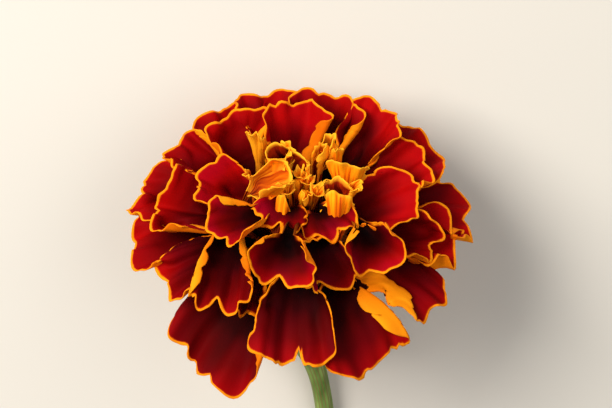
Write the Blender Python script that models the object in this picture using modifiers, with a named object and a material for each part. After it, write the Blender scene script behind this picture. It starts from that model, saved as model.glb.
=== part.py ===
"""Double French marigold, picked: the flower head lies on its side with its cut stem behind it.

The head is drawn about its own axis in millimetres (z along the axis, out of the face, 0 at the
widest ring of petals; azimuth 0 toward -y, growing toward +x) and then laid on the surface.
"""
import math
import random

import bmesh
import bpy
import numpy as np
from mathutils import Vector

MM = 0.001
AXIS_RISE = 36.0          # the flower's axis rises this many degrees above the surface
RING_HEIGHT = 21.2        # height of the widest ring's centre above the surface
CENTRE_X, CENTRE_Y = -0.15, 28.0   # shift that centres the whole part on the origin

BLADE = 0.64              # thickness of a petal
LIMB_ROWS, LIMB_COLUMNS = 4, 6
CLAW_ROOT_Z = -7.0        # height at which the claws run together
THROAT_WIDTH, THROAT_WRAP = 1.8, 125.0

WELL_RADII = ((-3.0, 5.6), (7.0, 5.8), (10.0, 6.8), (14.0, 10.0), (22.0, 15.0))   # z, radius
CLEAR = 0.3               # gap between neighbouring pieces

CUP_TOP, CUP_BOTTOM = -8.4, -25.0
CUP_RADII = ((-25.0, 2.7), (-23.5, 3.6), (-20.5, 4.9), (-16.0, 5.5), (-11.0, 5.9), (-8.4, 6.3))
CUP_TEETH = 9
CUP_BORE, CUP_FLOOR = 5.1, -12.9
STEM_RADIUS_TOP, STEM_RADIUS = 2.7, 1.55
STEM_END_X, STEM_TAIL = 4.2, 34.0

PLUG_TOP = 6.4
TUBE_COUNT, TUBE_SEED = 16, 3

BACK_SEED = 5

# The petals of the near side, by hand: azimuth, radius and height of the tip, slope of the blade
# above the horizontal, its length, half width, and half the angle it wraps round its midline.
# extras: shoulder (how soon it widens), skew, ruffle, waves, phase, corner, notches (place,
# depth, width) in the edge, and left and right (angle, start) where a margin rolls over.
FACING = [
    # lowest row of the skirt
    (-38, 27.5, -9.0, -26, 17, 11.0, 50, dict(shoulder=1.5, ruffle=1.1, waves=2.6, phase=0.5,
                                              notches=((-0.05, 0.14, 0.2),), right=(120, 0.8))),
    (-5, 25.0, 0.2, -12, 15, 9.0, 50, dict(shoulder=2.0, corner=0.1, ruffle=0.7, waves=2.5,
                                           notches=((0.2, 0.1, 0.08),), left=(70, 0.85))),
    (26, 26.5, -3.8, -14, 16, 9.6, 60, dict(skew=10, ruffle=0.6, waves=2.6, right=(165, 0.66))),
    (55, 25.3, 0.8, -5, 15, 8.0, 70, dict(shoulder=2, ruffle=0.6, phase=1.0, left=(115, 0.6))),
    (-61, 24.2, 1.2, 0, 14, 7.0, 70, dict(phase=1.0)),
    (-84, 26.0, 0.2, 5, 15, 10.0, 60, dict(ruffle=0.9, right=(90, 0.85))),
    (76, 25.2, 0.0, 5, 14, 8.0, 80, dict(phase=2.2)),
    (96, 26.0, 1.6, 0, 14, 9.0, 75, dict(waves=2.4, phase=0.8)),
    # middle rows
    (-41, 21.3, 3.2, 0, 13, 8.0, 85, dict(shoulder=1.5, ruffle=0.8, phase=2.0, left=(80, 0.8),
                                          right=(110, 0.78))),
    (-10, 18.2, 8.8, 10, 7, 10.5, 150, dict(shoulder=1.3, ruffle=0.5, notches=((-0.1, 0.15, 0.1),))),
    (13, 18.3, 7.6, 6, 10, 8.2, 115, dict(shoulder=1.3, ruffle=0.7, notches=((0.25, 0.2, 0.12),))),
    (44, 18.6, 8.2, 12, 8, 10.0, 140, dict(shoulder=1.2, ruffle=0.5, notches=((-0.1, 0.1, 0.1),))),
    (-60, 17.0, 9.4, 14, 9, 9.0, 130, dict(shoulder=1.3, ruffle=0.5, notches=((0.25, 0.15, 0.12),))),
    (-94, 22.5, 5.0, 20, 14, 8.5, 90, dict(right=(80, 0.8))),
    (-122, 23.2, 6.6, 25, 14, 8.0, 80, dict(phase=1.7)),
    (70, 21.5, 5.0, 15, 13, 7.5, 95, dict(ruffle=0.7, phase=1.2)),
    (84, 17.8, 9.4, 30, 13, 9.6, 85, dict(ruffle=0.5)),
    (108, 20.4, 9.0, 35, 13, 8.6, 85, dict(ruffle=0.6, phase=2.6)),
    (121, 25.0, 5.0, 25, 14, 9.0, 80, dict(ruffle=0.6, waves=2.5)),
    # upper rows round the sunk centre
    (-22, 12.0, 12.4, 20, 8, 7.8, 95, dict(shoulder=1.4)),
    (28, 12.5, 12.4, 20, 8, 8.5, 90, dict(shoulder=1.4)),
    (2, 14.6, 10.6, 5, 7, 4.6, 95, dict(ruffle=0.4, left=(120, 0.5))),
    (-97, 16.4, 11.0, 40, 12, 7.3, 85, dict(ruffle=0.6)),
    (-140, 18.5, 11.0, 45, 12, 8.6, 90, dict(ruffle=0.6, left=(110, 0.7))),
    (-173, 15.6, 13.0, 55, 12, 8.4, 95, dict(ruffle=0.5, left=(100, 0.78))),
    (165, 19.2, 11.0, 45, 12, 8.4, 90, dict(ruffle=0.6)),
    (-163, 21.5, 9.2, 30, 14, 8.5, 85, dict(ruffle=0.7, phase=1.1)),
    (137, 18.6, 11.2, 45, 12, 8.6, 85, dict(ruffle=0.6, right=(130, 0.66))),
]

# Young florets round the disc, half unrolled and golden on both faces.
YOUNG = [
    (-150, 6.8, 12.3, 78, 7, 4.6, 150, dict(ruffle=0.2, seed=1)),
    (-84, 7.4, 11.6, 20, 7, 5.8, 115, dict(ruffle=0.4, seed=2)),
    (111, 7.4, 13.0, 62, 7, 5.6, 115, dict(ruffle=0.3, seed=3)),
    (98, 5.0, 12.2, 75, 6, 3.6, 110, dict(ruffle=0.3, seed=4)),
    (57, 6.0, 12.6, 100, 6, 5.0, 160, dict(ruffle=0.2, seed=5)),
    (-20, 5.0, 12.2, 85, 6, 4.6, 140, dict(ruffle=0.4, seed=6)),
    (-45, 6.2, 11.4, 60, 6, 4.0, 120, dict(ruffle=0.4, seed=7)),
    (20, 6.0, 11.0, 75, 6, 3.4, 130, dict(ruffle=0.3, seed=8)),
    (150, 7.4, 13.0, 70, 7, 3.6, 140, dict(ruffle=0.3, seed=9)),
    (178, 7.6, 12.6, 72, 7, 3.4, 120, dict(ruffle=0.4, seed=10)),
    (-122, 8.4, 12.8, 66, 7, 4.6, 115, dict(ruffle=0.3, seed=11)),
]

# Rows that fill in round the back: azimuths, then radius, height, slope, length and half width,
# then how many facets each blade has along and across.  The first row carries the head.
BACK_ROWS = [
    ((150, 180, 210), 24.8, -7.6, -22, 16, 9.4, (6, 6)),
    ((119, 241), 24.6, -7.6, -22, 16, 9.4, (3, 5)),
    ((113, 134, 156, 178, 200, 221, 242, 262), 25.2, -0.6, 0, 15, 9.2, (3, 5)),
    ((128, 149, 187, 214, 240), 22.5, 5.4, 20, 14, 8.6, (3, 4)),
]
REST_ROUNDING = 0.6       # how sharply a petal bends where it meets the surface
REST_SLIDE = 0.9          # how far its end slides outward for each millimetre it would sink


def petal(az, r, z, tilt, length, width, wrap, extras):
    """One petal's values under their names, with the usual ones filled in."""
    values = dict(az=az, r=r, z=z, tilt=tilt, length=length, width=width, wrap=wrap, shoulder=1.6,
                  skew=0, ruffle=0.8, waves=3.0, phase=0.0, corner=0.25, notches=(),
                  left=None, right=None, seed=0, facets=(LIMB_ROWS, LIMB_COLUMNS))
    values.update(extras)
    return values


def back_petals():
    """The petals on the far side of the head, by rule."""
    draw = random.Random(BACK_SEED)
    petals = []
    for azimuths, r, z, tilt, length, width, facets in BACK_ROWS:
        for az in azimuths:
            extras = dict(waves=draw.uniform(2.2, 3.2), phase=draw.uniform(0, 6), seed=len(petals) + 1,
                          facets=facets)
            petals.append(petal(az + draw.uniform(-3, 3), r + draw.uniform(-0.8, 0.8),
                                z + draw.uniform(-1.2, 1.2), tilt + draw.uniform(-6, 6), length,
                                width + draw.uniform(-0.6, 0.8), draw.uniform(65, 100), extras))
    return petals


def petal_surface(p, us, vs, claw_rows):
    """Points of a petal's middle surface: claw rows, then the blade at us (throat to tip) by vs."""
    az, tilt = math.radians(p["az"]), math.radians(p["tilt"])
    outward = np.array([math.sin(az), -math.cos(az), 0.0])
    side = np.array([math.cos(az), math.sin(az), 0.0])
    along = math.cos(tilt) * outward + math.sin(tilt) * np.array([0, 0, 1.0])
    facing = np.cross(along, side)
    draw = random.Random(p["seed"])
    shift = [draw.uniform(0, 2 * math.pi) for _ in range(4)]

    # the blade is a flaring trough: its half width and its wrap give the radius at each t
    t = np.linspace(0, 1.4, 141)
    step = t[1] - t[0]
    inside = np.clip(t, 0, 1)
    half = THROAT_WIDTH + (p["width"] - THROAT_WIDTH) * (1 - (1 - inside) ** p["shoulder"])
    half = half + (t - inside) * p["width"] * 0.5
    wrap = math.radians(THROAT_WRAP) + (math.radians(p["wrap"] - THROAT_WRAP)) * inside ** 0.8
    radius = half / wrap
    slope = np.clip(np.gradient(radius, step) / p["length"], -0.9, 0.97)
    slope = np.convolve(np.pad(slope, 6, mode="edge"), np.ones(13) / 13, mode="valid")
    run = step * p["length"]
    mean = (slope[1:] + slope[:-1]) / 2
    radius = radius[0] + np.concatenate([[0], np.cumsum(mean * run)])
    height = np.concatenate([[0], np.cumsum(np.sqrt(1 - mean ** 2) * run)])
    tip_h, tip_r = np.interp(1.0, t, height), np.interp(1.0, t, radius)
    lean = math.atan2(tip_r - radius[0], tip_h)
    axis = math.cos(lean) * along + math.sin(lean) * facing
    normal = math.cos(lean) * facing - math.sin(lean) * along

    v, u = np.asarray(vs)[None, :], np.asarray(us)[:, None]
    reach = 1 - p["corner"] * np.abs(v) ** 3.5
    reach = reach + 0.03 * np.sin(5.1 * v + shift[0]) + 0.02 * np.sin(11 * v + shift[1])
    for place, deep, wide in p["notches"]:
        reach = reach - deep * np.exp(-((v - place) / wide) ** 2)
    s = u * reach
    rr, hh = np.interp(s, t, radius), np.interp(s, t, height)
    ss = np.interp(s, t, slope)
    # across the blade the section is an arc, whose margins may roll over, followed step by step
    beat = math.pi * p["waves"] * v + p["phase"]
    swell = p["ruffle"] * np.clip(s, 0, 1.3) ** 2.2
    fine = np.linspace(-1, 1, 81)[None, :]
    turn = fine * np.interp(u, t, wrap) + math.radians(p["skew"]) * fine * fine * u
    for sign, roll in ((-1, p["left"]), (1, p["right"])):
        if roll:
            amount = np.clip((sign * fine - roll[1]) / (1 - roll[1]), 0, 1) ** 1.3
            turn = turn + sign * math.radians(roll[0]) * amount * np.clip(u * 2.2 - 0.35, 0, 1)
    width_here = np.interp(u, t, radius * wrap)
    gap = fine[0, 1] - fine[0, 0]
    mid = (turn[:, 1:] + turn[:, :-1]) / 2
    start = np.zeros_like(u)
    sideways = np.concatenate([start, np.cumsum(np.cos(mid) * gap, axis=1)], axis=1) * width_here
    inward = np.concatenate([start, np.cumsum(np.sin(mid) * gap, axis=1)], axis=1) * width_here
    points, out = np.zeros(s.shape + (3,)), np.zeros(s.shape + (3,))
    for i in range(s.shape[0]):
        x = np.interp(v[0], fine[0], sideways[i] - sideways[i, 40])
        y = np.interp(v[0], fine[0], inward[i] - inward[i, 40])
        scale = rr[i] / np.interp(u[i, 0], t, radius)
        a = np.interp(v[0], fine[0], turn[i])
        points[i] = (hh[i][:, None] * axis + (scale * x)[:, None] * side
                     + (scale * y - rr[i])[:, None] * normal)
        round_ = -np.cos(a)[:, None] * normal + np.sin(a)[:, None] * side
        out[i] = -np.sqrt(1 - ss[i] ** 2)[:, None] * round_ + ss[i][:, None] * axis
    lift = swell * (np.sin(beat) + 0.4 * np.sin(2.3 * beat + shift[2]))
    lift = lift + 0.22 * p["ruffle"] * np.clip(s, 0, 1.3) ** 7 * np.sin(4.7 * beat + shift[3])
    tip = p["r"] * outward + np.array([0, 0, p["z"]])
    throat = tip - (tip_h * axis - tip_r * normal)
    points = points + lift[..., None] * out + throat

    # the claw runs from the throat down and in to where the claws gather
    root = min(4.0, 0.16 * p["r"]) * outward + np.array([0, 0, CLAW_ROOT_Z])
    pull = np.linalg.norm(throat - root) * 0.45
    bend1 = root + (0.35 * outward + np.array([0, 0, 1.0])) * pull
    bend2 = throat - axis * pull * 0.9
    k = np.linspace(0.55, 1, claw_rows + 1)[:-1, None]
    path = ((1 - k) ** 3 * root + 3 * (1 - k) ** 2 * k * bend1
            + 3 * (1 - k) * k * k * bend2 + k ** 3 * throat)
    angle = np.asarray(vs) * math.radians(THROAT_WRAP)
    round_ = -np.cos(angle)[:, None] * normal + np.sin(angle)[:, None] * side
    claw = path[:, None, :] + radius[0] * round_[None]
    return np.concatenate([claw, points])


def laid(points):
    """Points of the head's own frame (mm) where they come to lie on the surface (mm)."""
    a = math.radians(AXIS_RISE)
    x, y, z = np.moveaxis(np.asarray(points, dtype=float), -1, 0)
    return np.stack([x + CENTRE_X, math.sin(a) * y + math.cos(a) * z + CENTRE_Y,
                     -math.cos(a) * y + math.sin(a) * z + RING_HEIGHT], axis=-1)


def rested(grid, az, lift):
    """Bend what would sink below the surface so that it lies on it, pointing outward."""
    a = math.radians(az)
    slide = np.array([math.sin(a), -math.cos(a) * math.sin(math.radians(AXIS_RISE))])
    slide /= np.linalg.norm(slide)
    over = grid[..., 2] - lift
    soft = np.clip(over, 0, None)
    near = np.abs(over) < REST_ROUNDING
    soft[near] = (over[near] + REST_ROUNDING) ** 2 / (4 * REST_ROUNDING)
    sunk = (soft - over) * REST_SLIDE
    grid = grid + np.stack([slide[0] * sunk, slide[1] * sunk, np.zeros_like(sunk)], axis=-1)
    grid[..., 2] = soft + lift
    return grid


def new_object(name, verts, faces, collection=None):
    """A mesh object in metres, faces turned outward."""
    mesh = bpy.data.meshes.new(name)
    mesh.from_pydata([tuple(v * MM for v in vert) for vert in verts], [], faces)
    work = bmesh.new()
    work.from_mesh(mesh)
    bmesh.ops.recalc_face_normals(work, faces=work.faces)
    if work.calc_volume(signed=True) < 0:
        bmesh.ops.reverse_faces(work, faces=work.faces)
    work.to_mesh(mesh)
    work.free()
    obj = bpy.data.objects.new(name, mesh)
    (collection or bpy.context.scene.collection).objects.link(obj)
    return obj


def blade_solid(name, grid, thickness, collection):
    """A thin closed solid round a grid of middle points, split alike on both faces.  Where the
    grid lies on the surface its underside is kept level, which Solidify would not do."""
    rows, columns = grid.shape[:2]
    down = np.gradient(grid, axis=0)
    across = np.gradient(grid, axis=1)
    normal = np.cross(down, across)
    normal /= np.linalg.norm(normal, axis=-1, keepdims=True) + 1e-12
    flat = grid[..., 2] <= thickness / 2 + 1e-6
    normal[flat] = np.sign(normal[flat][:, 2:3] + 1e-9) * np.array([0, 0, 1.0])
    verts = np.concatenate([(grid + normal * thickness / 2).reshape(-1, 3),
                            (grid - normal * thickness / 2).reshape(-1, 3)])
    other = rows * columns
    faces = []
    for i in range(rows - 1):
        for j in range(columns - 1):
            a, b = i * columns + j, i * columns + j + 1
            c, d = b + columns, a + columns
            pair = ((a, b, c), (a, c, d)) if (i + j) % 2 == 0 else ((a, b, d), (b, c, d))
            for face in pair:
                faces.append(face)
                faces.append(tuple(other + k for k in reversed(face)))
    index = np.arange(rows * columns).reshape(rows, columns)
    rim = [*index[0], *index[1:, -1], *index[-1, -2::-1], *index[-2:0:-1, 0]]
    for a, b in zip(rim, rim[1:] + rim[:1]):
        faces.append((int(b), int(a), int(other + a)))
        faces.append((int(b), int(other + a), int(other + b)))
    return new_object(name, verts, faces, collection)


def turned(name, profile, sides, collection=None):
    """A closed solid of revolution about the head's axis, from (radius, z) points that run up."""
    points = [(r * MM, 0.0, z * MM) for r, z in reversed(profile)]
    mesh = bpy.data.meshes.new(name)
    mesh.from_pydata(points, [(k, k + 1) for k in range(len(points) - 1)], [])
    obj = bpy.data.objects.new(name, mesh)
    (collection or bpy.context.scene.collection).objects.link(obj)
    screw = obj.modifiers.new("turn", "SCREW")
    screw.steps = screw.render_steps = sides
    screw.use_merge_vertices = True
    screw.merge_threshold = 0.00001
    graph = bpy.context.evaluated_depsgraph_get()
    obj.data = bpy.data.meshes.new_from_object(obj.evaluated_get(graph))
    obj.modifiers.clear()
    spots = laid([tuple(vert.co / MM) for vert in obj.data.vertices]) * MM
    obj.data.vertices.foreach_set("co", spots.reshape(-1))
    return obj


def boolean(obj, operation, other=None, collection=None):
    """One Boolean on an object, applied; its operands are removed."""
    modifier = obj.modifiers.new("boolean", "BOOLEAN")
    modifier.operation = operation
    modifier.solver = "MANIFOLD"     # EXACT leaves open edges where so many thin blades cross
    if collection is not None:
        modifier.operand_type = "COLLECTION"
        modifier.collection = collection
    else:
        modifier.object = other
    graph = bpy.context.evaluated_depsgraph_get()
    mesh = bpy.data.meshes.new_from_object(obj.evaluated_get(graph))
    obj.modifiers.clear()
    obj.data = mesh
    for spent in list(collection.objects) if collection is not None else [other]:
        bpy.data.objects.remove(spent)
    if collection is not None:
        bpy.data.collections.remove(collection)


def one_body(obj):
    """Keep the largest shell only: sealed hollows are filled and loose scraps dropped."""
    work = bmesh.new()
    work.from_mesh(obj.data)
    bmesh.ops.remove_doubles(work, verts=work.verts, dist=0.000001)
    bmesh.ops.triangulate(work, faces=work.faces)
    left, shells = set(work.faces), []
    while left:
        stack, shell = [left.pop()], []
        while stack:
            face = stack.pop()
            shell.append(face)
            for edge in face.edges:
                for near in edge.link_faces:
                    if near in left:
                        left.remove(near)
                        stack.append(near)
        shells.append(shell)
    shells.sort(key=lambda s: -sum(f.calc_area() for f in s))
    for shell in shells[1:]:
        bmesh.ops.delete(work, geom=shell, context="FACES")
    bmesh.ops.delete(work, geom=[v for v in work.verts if not v.link_faces], context="VERTS")
    bmesh.ops.recalc_face_normals(work, faces=work.faces)
    if work.calc_volume(signed=True) < 0:
        bmesh.ops.reverse_faces(work, faces=work.faces)
    work.to_mesh(obj.data)
    work.free()


def new_collection(name):
    """A collection that holds a Boolean's operands."""
    collection = bpy.data.collections.new(name)
    bpy.context.scene.collection.children.link(collection)
    return collection


def paint(obj, name, colour, roughness):
    """A plain material of its own for an object."""
    material = bpy.data.materials.new(name)
    material.use_nodes = True
    shader = material.node_tree.nodes["Principled BSDF"]
    shader.inputs["Base Color"].default_value = (*colour, 1.0)
    shader.inputs["Roughness"].default_value = roughness
    obj.data.materials.clear()
    obj.data.materials.append(material)


def well(name, clearance):
    """The space round the axis that the gold florets stand in."""
    profile = [(0.0, WELL_RADII[0][0] - clearance)]
    profile += [(r + clearance, z - (clearance if k == 0 else 0)) for k, (z, r) in enumerate(WELL_RADII)]
    return turned(name, profile + [(0.0, WELL_RADII[-1][0])], 24)


def make_ray_petals():
    """Crimson ray petals on the bundle of their claws, fused to one body."""
    core = turned("ray_petals", [(0.0, -12.6), (4.3, -12.6), (4.7, -8.4), (6.6, -5.6), (10.2, -3.4),
                                 (12.4, -0.5), (12.8, 3.0), (11.4, 6.2), (8.6, 7.8), (0.0, 7.8)], 24)
    limbs = new_collection("limbs")
    for k, p in enumerate([petal(*row) for row in FACING] + back_petals()):
        us = 1 - np.linspace(1, 0, p["facets"][0] + 1) ** 1.3
        vs = np.linspace(-1, 1, p["facets"][1] + 1)
        grid = rested(laid(petal_surface(p, us, vs, 1)), p["az"], BLADE / 2)
        blade_solid("limb_%02d" % k, grid, BLADE, limbs)
    boolean(core, "UNION", collection=limbs)
    boolean(core, "DIFFERENCE", other=well("well", CLEAR))
    one_body(core)
    paint(core, "crimson petal", (0.30, 0.004, 0.004), 0.7)
    return core


def tube_floret(k, draw):
    """Rings of one tubular disc floret: a thin neck that flares to a star-shaped mouth."""
    r = 4.4 * math.sqrt((k + 0.5) / TUBE_COUNT)
    az = k * 137.5 * math.pi / 180
    outward = np.array([math.sin(az), -math.cos(az), 0.0])
    lean = math.radians(14 * r / 4.4 + draw.uniform(-5, 5))
    axis = math.cos(lean) * np.array([0, 0, 1.0]) + math.sin(lean) * outward
    side = np.cross(axis, outward)
    side /= np.linalg.norm(side)
    front = np.cross(side, axis)
    foot = r * outward + np.array([0, 0, 3.0])
    top = PLUG_TOP + 2.2 + 1.6 * (r / 4.4) ** 2 + draw.uniform(-0.8, 0.8) - 3.0
    rings = []
    for along, radius in ((0.0, 0.45), (0.75, 0.55), (1.0, 1.15)):
        ring = []
        for n in range(5):
            a = 2 * math.pi * n / 5 + k
            ring.append(foot + along * top * axis + radius * (math.cos(a) * front + math.sin(a) * side))
        rings.append(ring)
    return rings, foot + (top - 0.5) * axis


def make_disc_florets():
    """Golden disc florets and the young, half-rolled florets round them, fused to one body."""
    radii = [(0.0, -2.7), (5.3, -2.7), (5.5, 4.0), (4.8, PLUG_TOP - 0.6), (2.6, PLUG_TOP), (0.0, PLUG_TOP)]
    plug = turned("disc_florets", radii, 20)
    florets = new_collection("florets")
    draw = random.Random(TUBE_SEED)
    for k in range(TUBE_COUNT):
        rings, middle = tube_floret(k, draw)
        verts = [v for ring in rings for v in ring] + [middle]
        faces = [tuple(range(4, -1, -1))]
        for row in range(len(rings) - 1):
            for n in range(5):
                m = (n + 1) % 5
                faces.append((5 * row + n, 5 * row + m, 5 * row + 5 + m, 5 * row + 5 + n))
        last = 5 * (len(rings) - 1)
        faces += [(last + n, last + (n + 1) % 5, last + 5) for n in range(5)]
        new_object("tube_%02d" % k, laid(verts), faces, florets)
    us, vs = np.linspace(0, 1, 4) ** 0.85, np.linspace(-1, 1, 6)
    for k, row in enumerate(YOUNG):
        blade_solid("young_%02d" % k, laid(petal_surface(petal(*row), us, vs, 1)), BLADE, florets)
    boolean(plug, "UNION", collection=florets)
    boolean(plug, "INTERSECT", other=well("well", 0.0))
    one_body(plug)
    paint(plug, "golden floret", (0.95, 0.45, 0.03), 0.6)
    return plug


def make_involucre():
    """Green cup of bracts grown together, their points free round its mouth."""
    sides = CUP_TEETH * 6
    rows = [("out", z, r) for z, r in CUP_RADII] + [("tip", 0, 0), ("in", CUP_TOP, CUP_BORE + 0.35)]
    rows += [("in", CUP_TOP - 1.0, CUP_BORE), ("in", CUP_FLOOR, CUP_BORE - 0.35)]
    verts, faces = [(0.0, 0.0, CUP_BOTTOM)], []
    for kind, z, r in rows:
        for n in range(sides):
            a = 2 * math.pi * n / sides
            phase = (n % 6) / 6.0
            tooth = 1.0 - abs(2 * phase - 1.0)
            rib = 1.0 + 0.035 * math.cos(2 * math.pi * phase - math.pi)
            if kind == "tip":
                rr, zz = 6.0 + 1.25 * tooth, CUP_TOP + 0.5 + 1.7 * tooth
            else:
                rr, zz = (r * rib if kind == "out" else r), z
            verts.append((rr * math.sin(a), -rr * math.cos(a), zz))
    verts.append((0.0, 0.0, CUP_FLOOR))
    for n in range(sides):
        m = (n + 1) % sides
        faces.append((0, 1 + m, 1 + n))
        for row in range(len(rows) - 1):
            a, b = 1 + row * sides, 1 + (row + 1) * sides
            faces.append((a + n, a + m, b + m, b + n))
        last = 1 + (len(rows) - 1) * sides
        faces.append((last + n, last + m, len(verts) - 1))
    cup = new_object("involucre", laid(verts), faces)
    paint(cup, "green bracts", (0.10, 0.20, 0.03), 0.6)
    return cup


def make_stem():
    """Cut flower stalk: swollen under the head, then bending down to lie along the surface."""
    top = Vector(laid((0.0, 0.0, CUP_BOTTOM - CLEAR)))
    a = math.radians(AXIS_RISE)
    back = Vector((0.0, -math.cos(a), -math.sin(a)))
    lie = STEM_RADIUS + 0.02
    turn = top + back * ((top.z - lie) / math.sin(a)) * 0.92
    bends = [top, top + back * 5.0, Vector((3.6, turn.y, lie)), Vector((STEM_END_X, turn.y - 16, lie))]
    points = []
    for n in range(17):
        t = n / 16
        points.append((1 - t) ** 3 * bends[0] + 3 * (1 - t) ** 2 * t * bends[1]
                      + 3 * (1 - t) * t * t * bends[2] + t ** 3 * bends[3])
    heading = Vector((points[-1].x - points[-2].x, points[-1].y - points[-2].y, 0.0)).normalized()
    for n in range(1, 9):
        points.append(points[16] + heading * (STEM_TAIL * n / 8))
    curve = bpy.data.curves.new("stem", "CURVE")
    curve.dimensions = "3D"
    curve.bevel_depth = MM
    curve.bevel_resolution = 4
    curve.use_fill_caps = True
    spline = curve.splines.new("POLY")
    spline.points.add(len(points) - 1)
    for n, (slot, point) in enumerate(zip(spline.points, points)):
        run = (point - top).length
        swell = max(0.0, 1.0 - run / 13.0)
        slot.co = (*(point * MM), 1.0)
        slot.radius = STEM_RADIUS + (STEM_RADIUS_TOP - STEM_RADIUS) * swell ** 1.5
    stem = bpy.data.objects.new("stem", curve)
    bpy.context.scene.collection.objects.link(stem)
    paint(stem, "green stalk", (0.16, 0.26, 0.05), 0.6)
    return stem


for obj in list(bpy.data.objects):
    bpy.data.objects.remove(obj)
make_ray_petals()
make_disc_florets()
make_involucre()
make_stem()
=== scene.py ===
"""Dresses the double French marigold that lies picked on a table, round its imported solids."""
import math
import random

import bmesh
import bpy
import numpy as np
from mathutils import Matrix, Vector
from mathutils.bvhtree import BVHTree


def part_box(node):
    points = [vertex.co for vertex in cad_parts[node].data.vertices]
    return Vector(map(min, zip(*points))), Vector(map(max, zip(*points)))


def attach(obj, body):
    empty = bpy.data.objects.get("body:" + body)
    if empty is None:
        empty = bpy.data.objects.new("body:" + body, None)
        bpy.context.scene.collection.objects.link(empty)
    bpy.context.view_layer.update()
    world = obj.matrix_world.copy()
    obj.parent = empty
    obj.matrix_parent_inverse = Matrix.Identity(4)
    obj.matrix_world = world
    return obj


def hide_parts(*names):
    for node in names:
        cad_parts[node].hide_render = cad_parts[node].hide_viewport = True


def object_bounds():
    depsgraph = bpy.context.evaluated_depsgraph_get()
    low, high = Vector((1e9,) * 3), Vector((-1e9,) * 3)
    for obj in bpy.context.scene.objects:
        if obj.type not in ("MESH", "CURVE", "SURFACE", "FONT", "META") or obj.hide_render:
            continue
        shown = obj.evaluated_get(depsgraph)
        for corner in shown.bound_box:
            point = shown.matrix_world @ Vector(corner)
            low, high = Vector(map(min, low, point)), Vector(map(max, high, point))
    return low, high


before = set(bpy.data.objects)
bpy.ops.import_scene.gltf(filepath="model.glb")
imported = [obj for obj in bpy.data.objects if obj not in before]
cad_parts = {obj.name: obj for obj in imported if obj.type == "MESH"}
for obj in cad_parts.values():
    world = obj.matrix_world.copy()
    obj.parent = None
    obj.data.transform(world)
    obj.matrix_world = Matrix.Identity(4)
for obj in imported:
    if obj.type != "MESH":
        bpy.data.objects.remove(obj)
cad_low, cad_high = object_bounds()


# ---------------------------------------------------------------------------------------------
# Ray petals: the strap of each ray floret is one velvety crimson blade with a thin golden edge
# and a golden back, ruffled at its free end.  It narrows to a rolled claw that stands with the
# others in the green cup.

# Lengths are in mm and angles in degrees.  The head lies on its lowest petals, so its axis points
# up from the table, and everything but the stem is drawn about that axis: z out of the face of the
# flower, 0 at its widest ring of petals; azimuth 0 toward -y, growing toward +x.
MM = 0.001
axis_rise = 36.0
cup_low, cup_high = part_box("involucre")
ring_beyond_cup_y, ring_above_cup = 21.80, 16.96        # from the low corner of the cup's box
ring_centre = ((cup_low[0] + cup_high[0]) / 2 / MM, cup_low[1] / MM + ring_beyond_cup_y,
               cup_low[2] / MM + ring_above_cup)

# one row for each petal that faces the viewer: azimuth, radius and height of its tip, slope of
# the blade, its length, half width and half the angle it wraps, then what is its own, such as its
# painted shade or, below 0, painted light
skirt_petals = [
    (-33, 26.2, -8.6, -26, 17, 12.2, 52,
     dict(painted_shading=0.9, shoulder=2.3, ruffle=1.1, waves=2.6, phase=0.5, right=(158, 0.8, 0.1),
          notches=((-0.28, 0.07, 0.06), (-0.5, 0.1, 0.2), (0.85, 0.12, 0.25)))),
    (-2, 25.0, 0.2, -12, 15, 7.8, 50,
     dict(painted_shading=0.8, shoulder=2.0, corner=0.08, ruffle=0.7, waves=2.5, notches=((0.08, 0.16, 0.045),))),
    (25.5, 26.6, -3.2, -14, 16, 11.4, 40,
     dict(painted_shading=0.2, ruffle=0.6, waves=2.6, right=(148, 0.69, 0.1, 0.36), notches=((0.32, 0.16, 0.26),))),
    (54, 24.6, -0.9, -6, 15, 7.2, 45,
     dict(painted_shading=0.7, shoulder=2, ruffle=0.6, phase=1.0, left=(148, 0.54, 0.12), right=(140, 0.9, 0.1))),
    (-10, 17.2, 1.4, -5, 11, 3.5, 60, dict(painted_shading=1.4, give=0.6, shift=(-5.0, 0.0))),
    (-60, 23.4, 1.8, 2, 14, 6.8, 48, dict(painted_shading=0.7, phase=1.0, corner=0.35, jogs=3)),
    (-84, 26.0, 0.2, 5, 15, 10.0, 60, dict(ruffle=0.9)),
    (79, 24.2, 2.4, 12, 14, 8.4, 85, dict(painted_shading=-0.7, phase=2.2, ruffle=1.2, waves=3.4)),
    (93, 26.1, 0.9, 0, 14, 9.0, 75, dict(waves=2.4, phase=0.8)),
    (-103, 26.3, 1.6, 6, 14, 9.0, 65, dict(ruffle=0.7, phase=2.0)),
]
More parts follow.
